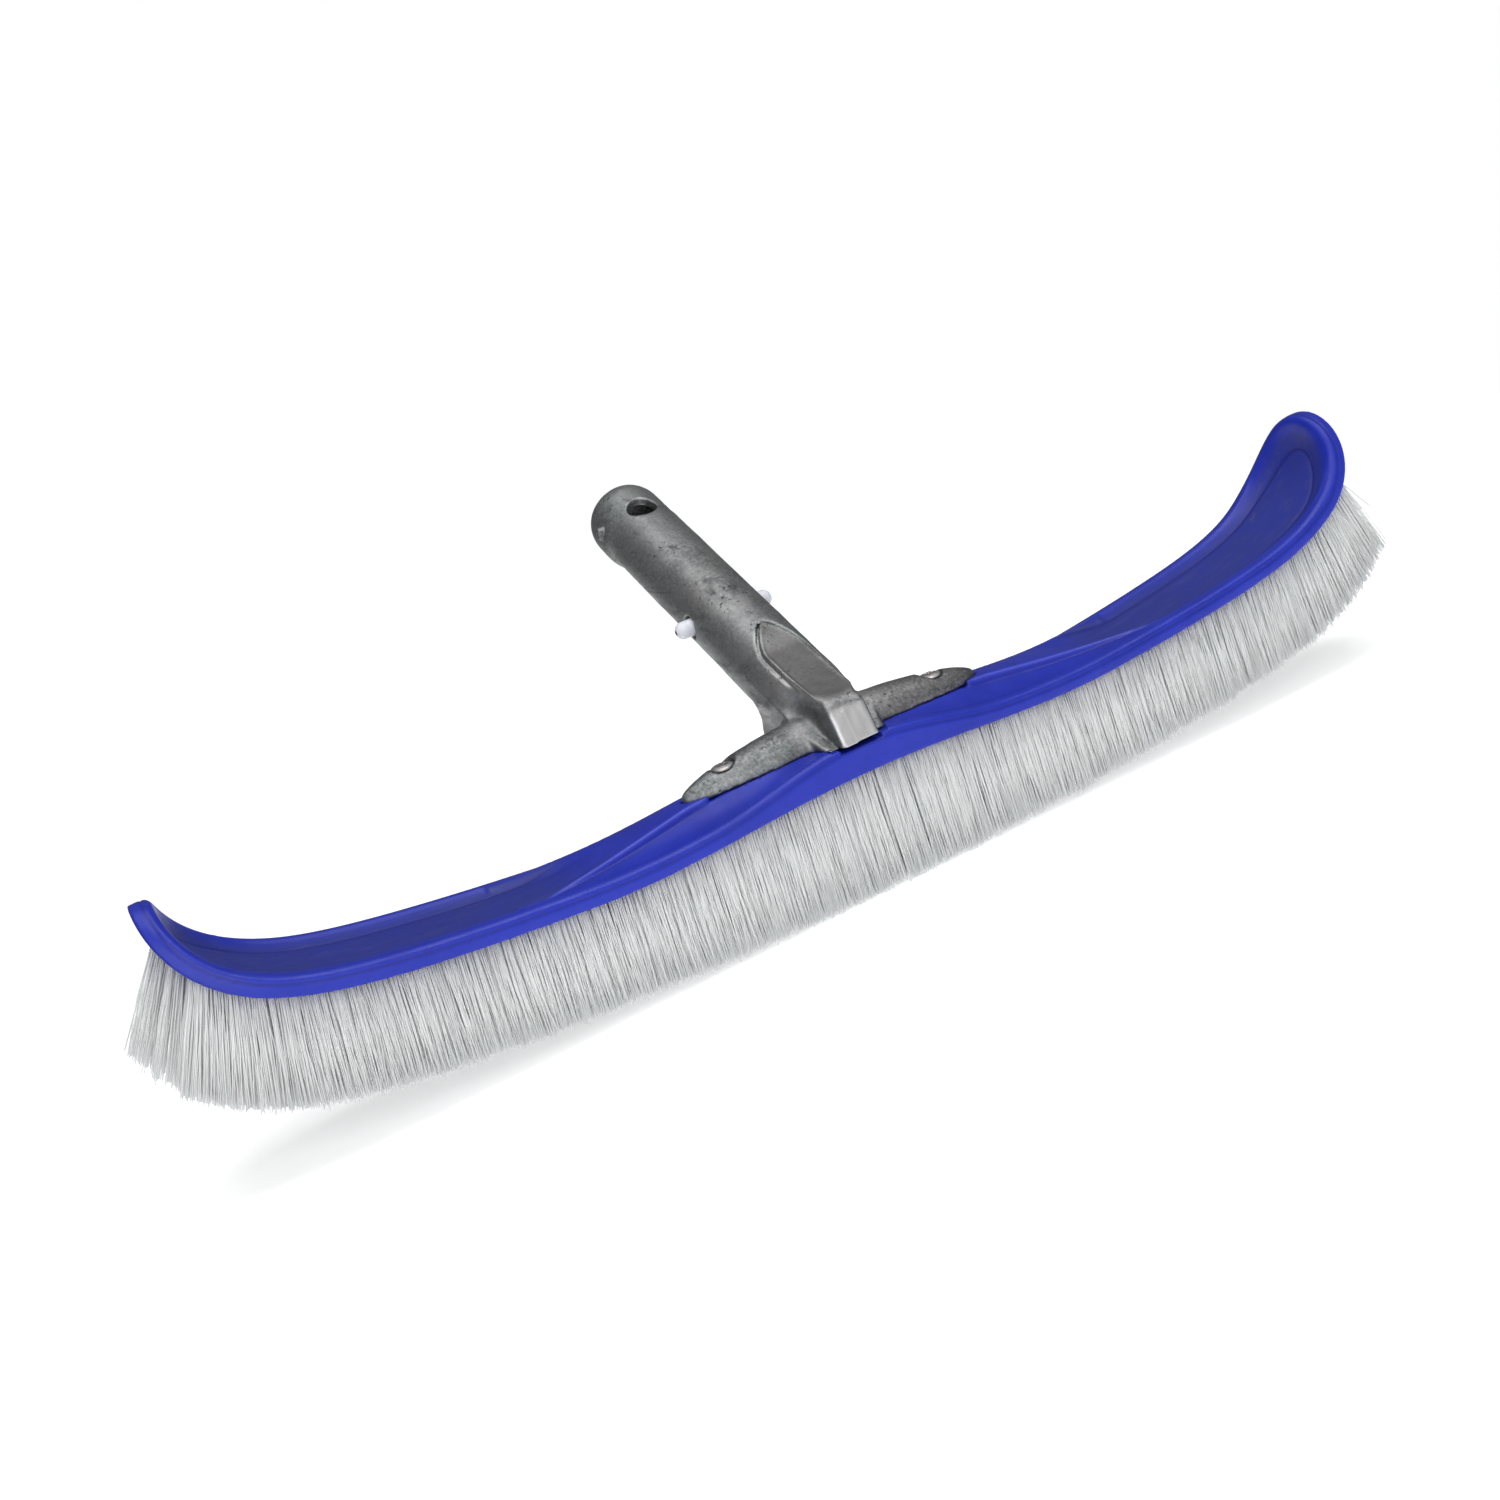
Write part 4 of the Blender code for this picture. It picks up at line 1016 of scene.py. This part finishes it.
def make_light():
    world = bpy.data.worlds.new("studio")
    bpy.context.scene.world = world
    world.use_nodes = True
    tree = world.node_tree
    background = tree.nodes["Background"]
    coords = tree.nodes.new("ShaderNodeTexCoord")
    split = tree.nodes.new("ShaderNodeSeparateXYZ")
    tree.links.new(coords.outputs["Generated"], split.inputs["Vector"])
    ramp = tree.nodes.new("ShaderNodeValToRGB")
    ramp.color_ramp.elements[0].position = 0.0
    ramp.color_ramp.elements[0].color = (0.70, 0.71, 0.73, 1)
    ramp.color_ramp.elements[1].position = 1.0
    ramp.color_ramp.elements[1].color = (1.0, 1.0, 1.0, 1)
    tree.links.new(split.outputs["Z"], ramp.inputs["Fac"])
    path = tree.nodes.new("ShaderNodeLightPath")
    white = tree.nodes.new("ShaderNodeBackground")
    white.inputs["Color"].default_value = (1, 1, 1, 1)
    tree.links.new(ramp.outputs["Color"], background.inputs["Color"])
    depth = tree.nodes.new("ShaderNodeMapRange")
    tree.links.new(split.outputs["Y"], depth.inputs["Value"])
    for key, value in (("From Min", -1.0), ("From Max", 1.0), ("To Min", 0.64), ("To Max", 0.18)):
        depth.inputs[key].default_value = value
    tree.links.new(depth.outputs["Result"], background.inputs["Strength"])
    choose = tree.nodes.new("ShaderNodeMixShader")
    tree.links.new(path.outputs["Is Camera Ray"], choose.inputs["Fac"])
    tree.links.new(background.outputs["Background"], choose.inputs[1])
    tree.links.new(white.outputs["Background"], choose.inputs[2])
    tree.links.new(choose.outputs["Shader"], tree.nodes["World Output"].inputs["Surface"])
    aim = Vector((0, 0, 0.05))
    for name, place, size, power in LAMPS:
        lamp = bpy.data.lights.new(name, "AREA")
        lamp.shape = "SQUARE"
        lamp.size = size
        lamp.energy = power
        thing = bpy.data.objects.new(name, lamp)
        thing.location = place
        thing.rotation_euler = (aim - Vector(place)).to_track_quat("-Z", "Y").to_euler()
        bpy.context.scene.collection.objects.link(thing)


LENS = 37.95
CAMERA_AT = (-199.74, -459.48, 153.77)     # mm, in the back's frame
CAMERA_RIGHT = (0.8624, -0.4058, -0.3028)
CAMERA_BACK = (-0.3361, -0.9061, 0.2571)


def make_camera():
    lens = bpy.data.cameras.new("camera")
    lens.sensor_width = 36
    lens.lens = LENS
    lens.clip_start = 0.01
    camera = bpy.data.objects.new("camera", lens)
    bpy.context.scene.collection.objects.link(camera)
    right = Vector(CAMERA_RIGHT).normalized()
    back = Vector(CAMERA_BACK).normalized()
    up = back.cross(right).normalized()
    right = up.cross(back).normalized()
    place = Vector(CAMERA_AT) * MM + Vector(ORIGIN * MM)
    camera.matrix_world = Matrix.Translation(place) @ Matrix((right, up, back)).transposed().to_4x4()
    bpy.context.scene.camera = camera


make_floor()
make_light()
make_camera()
bpy.context.scene.view_settings.view_transform = "Standard"
bpy.context.scene.cycles.max_bounces = 24
bpy.context.scene.cycles.diffuse_bounces = 20

bpy.context.view_layer.update()
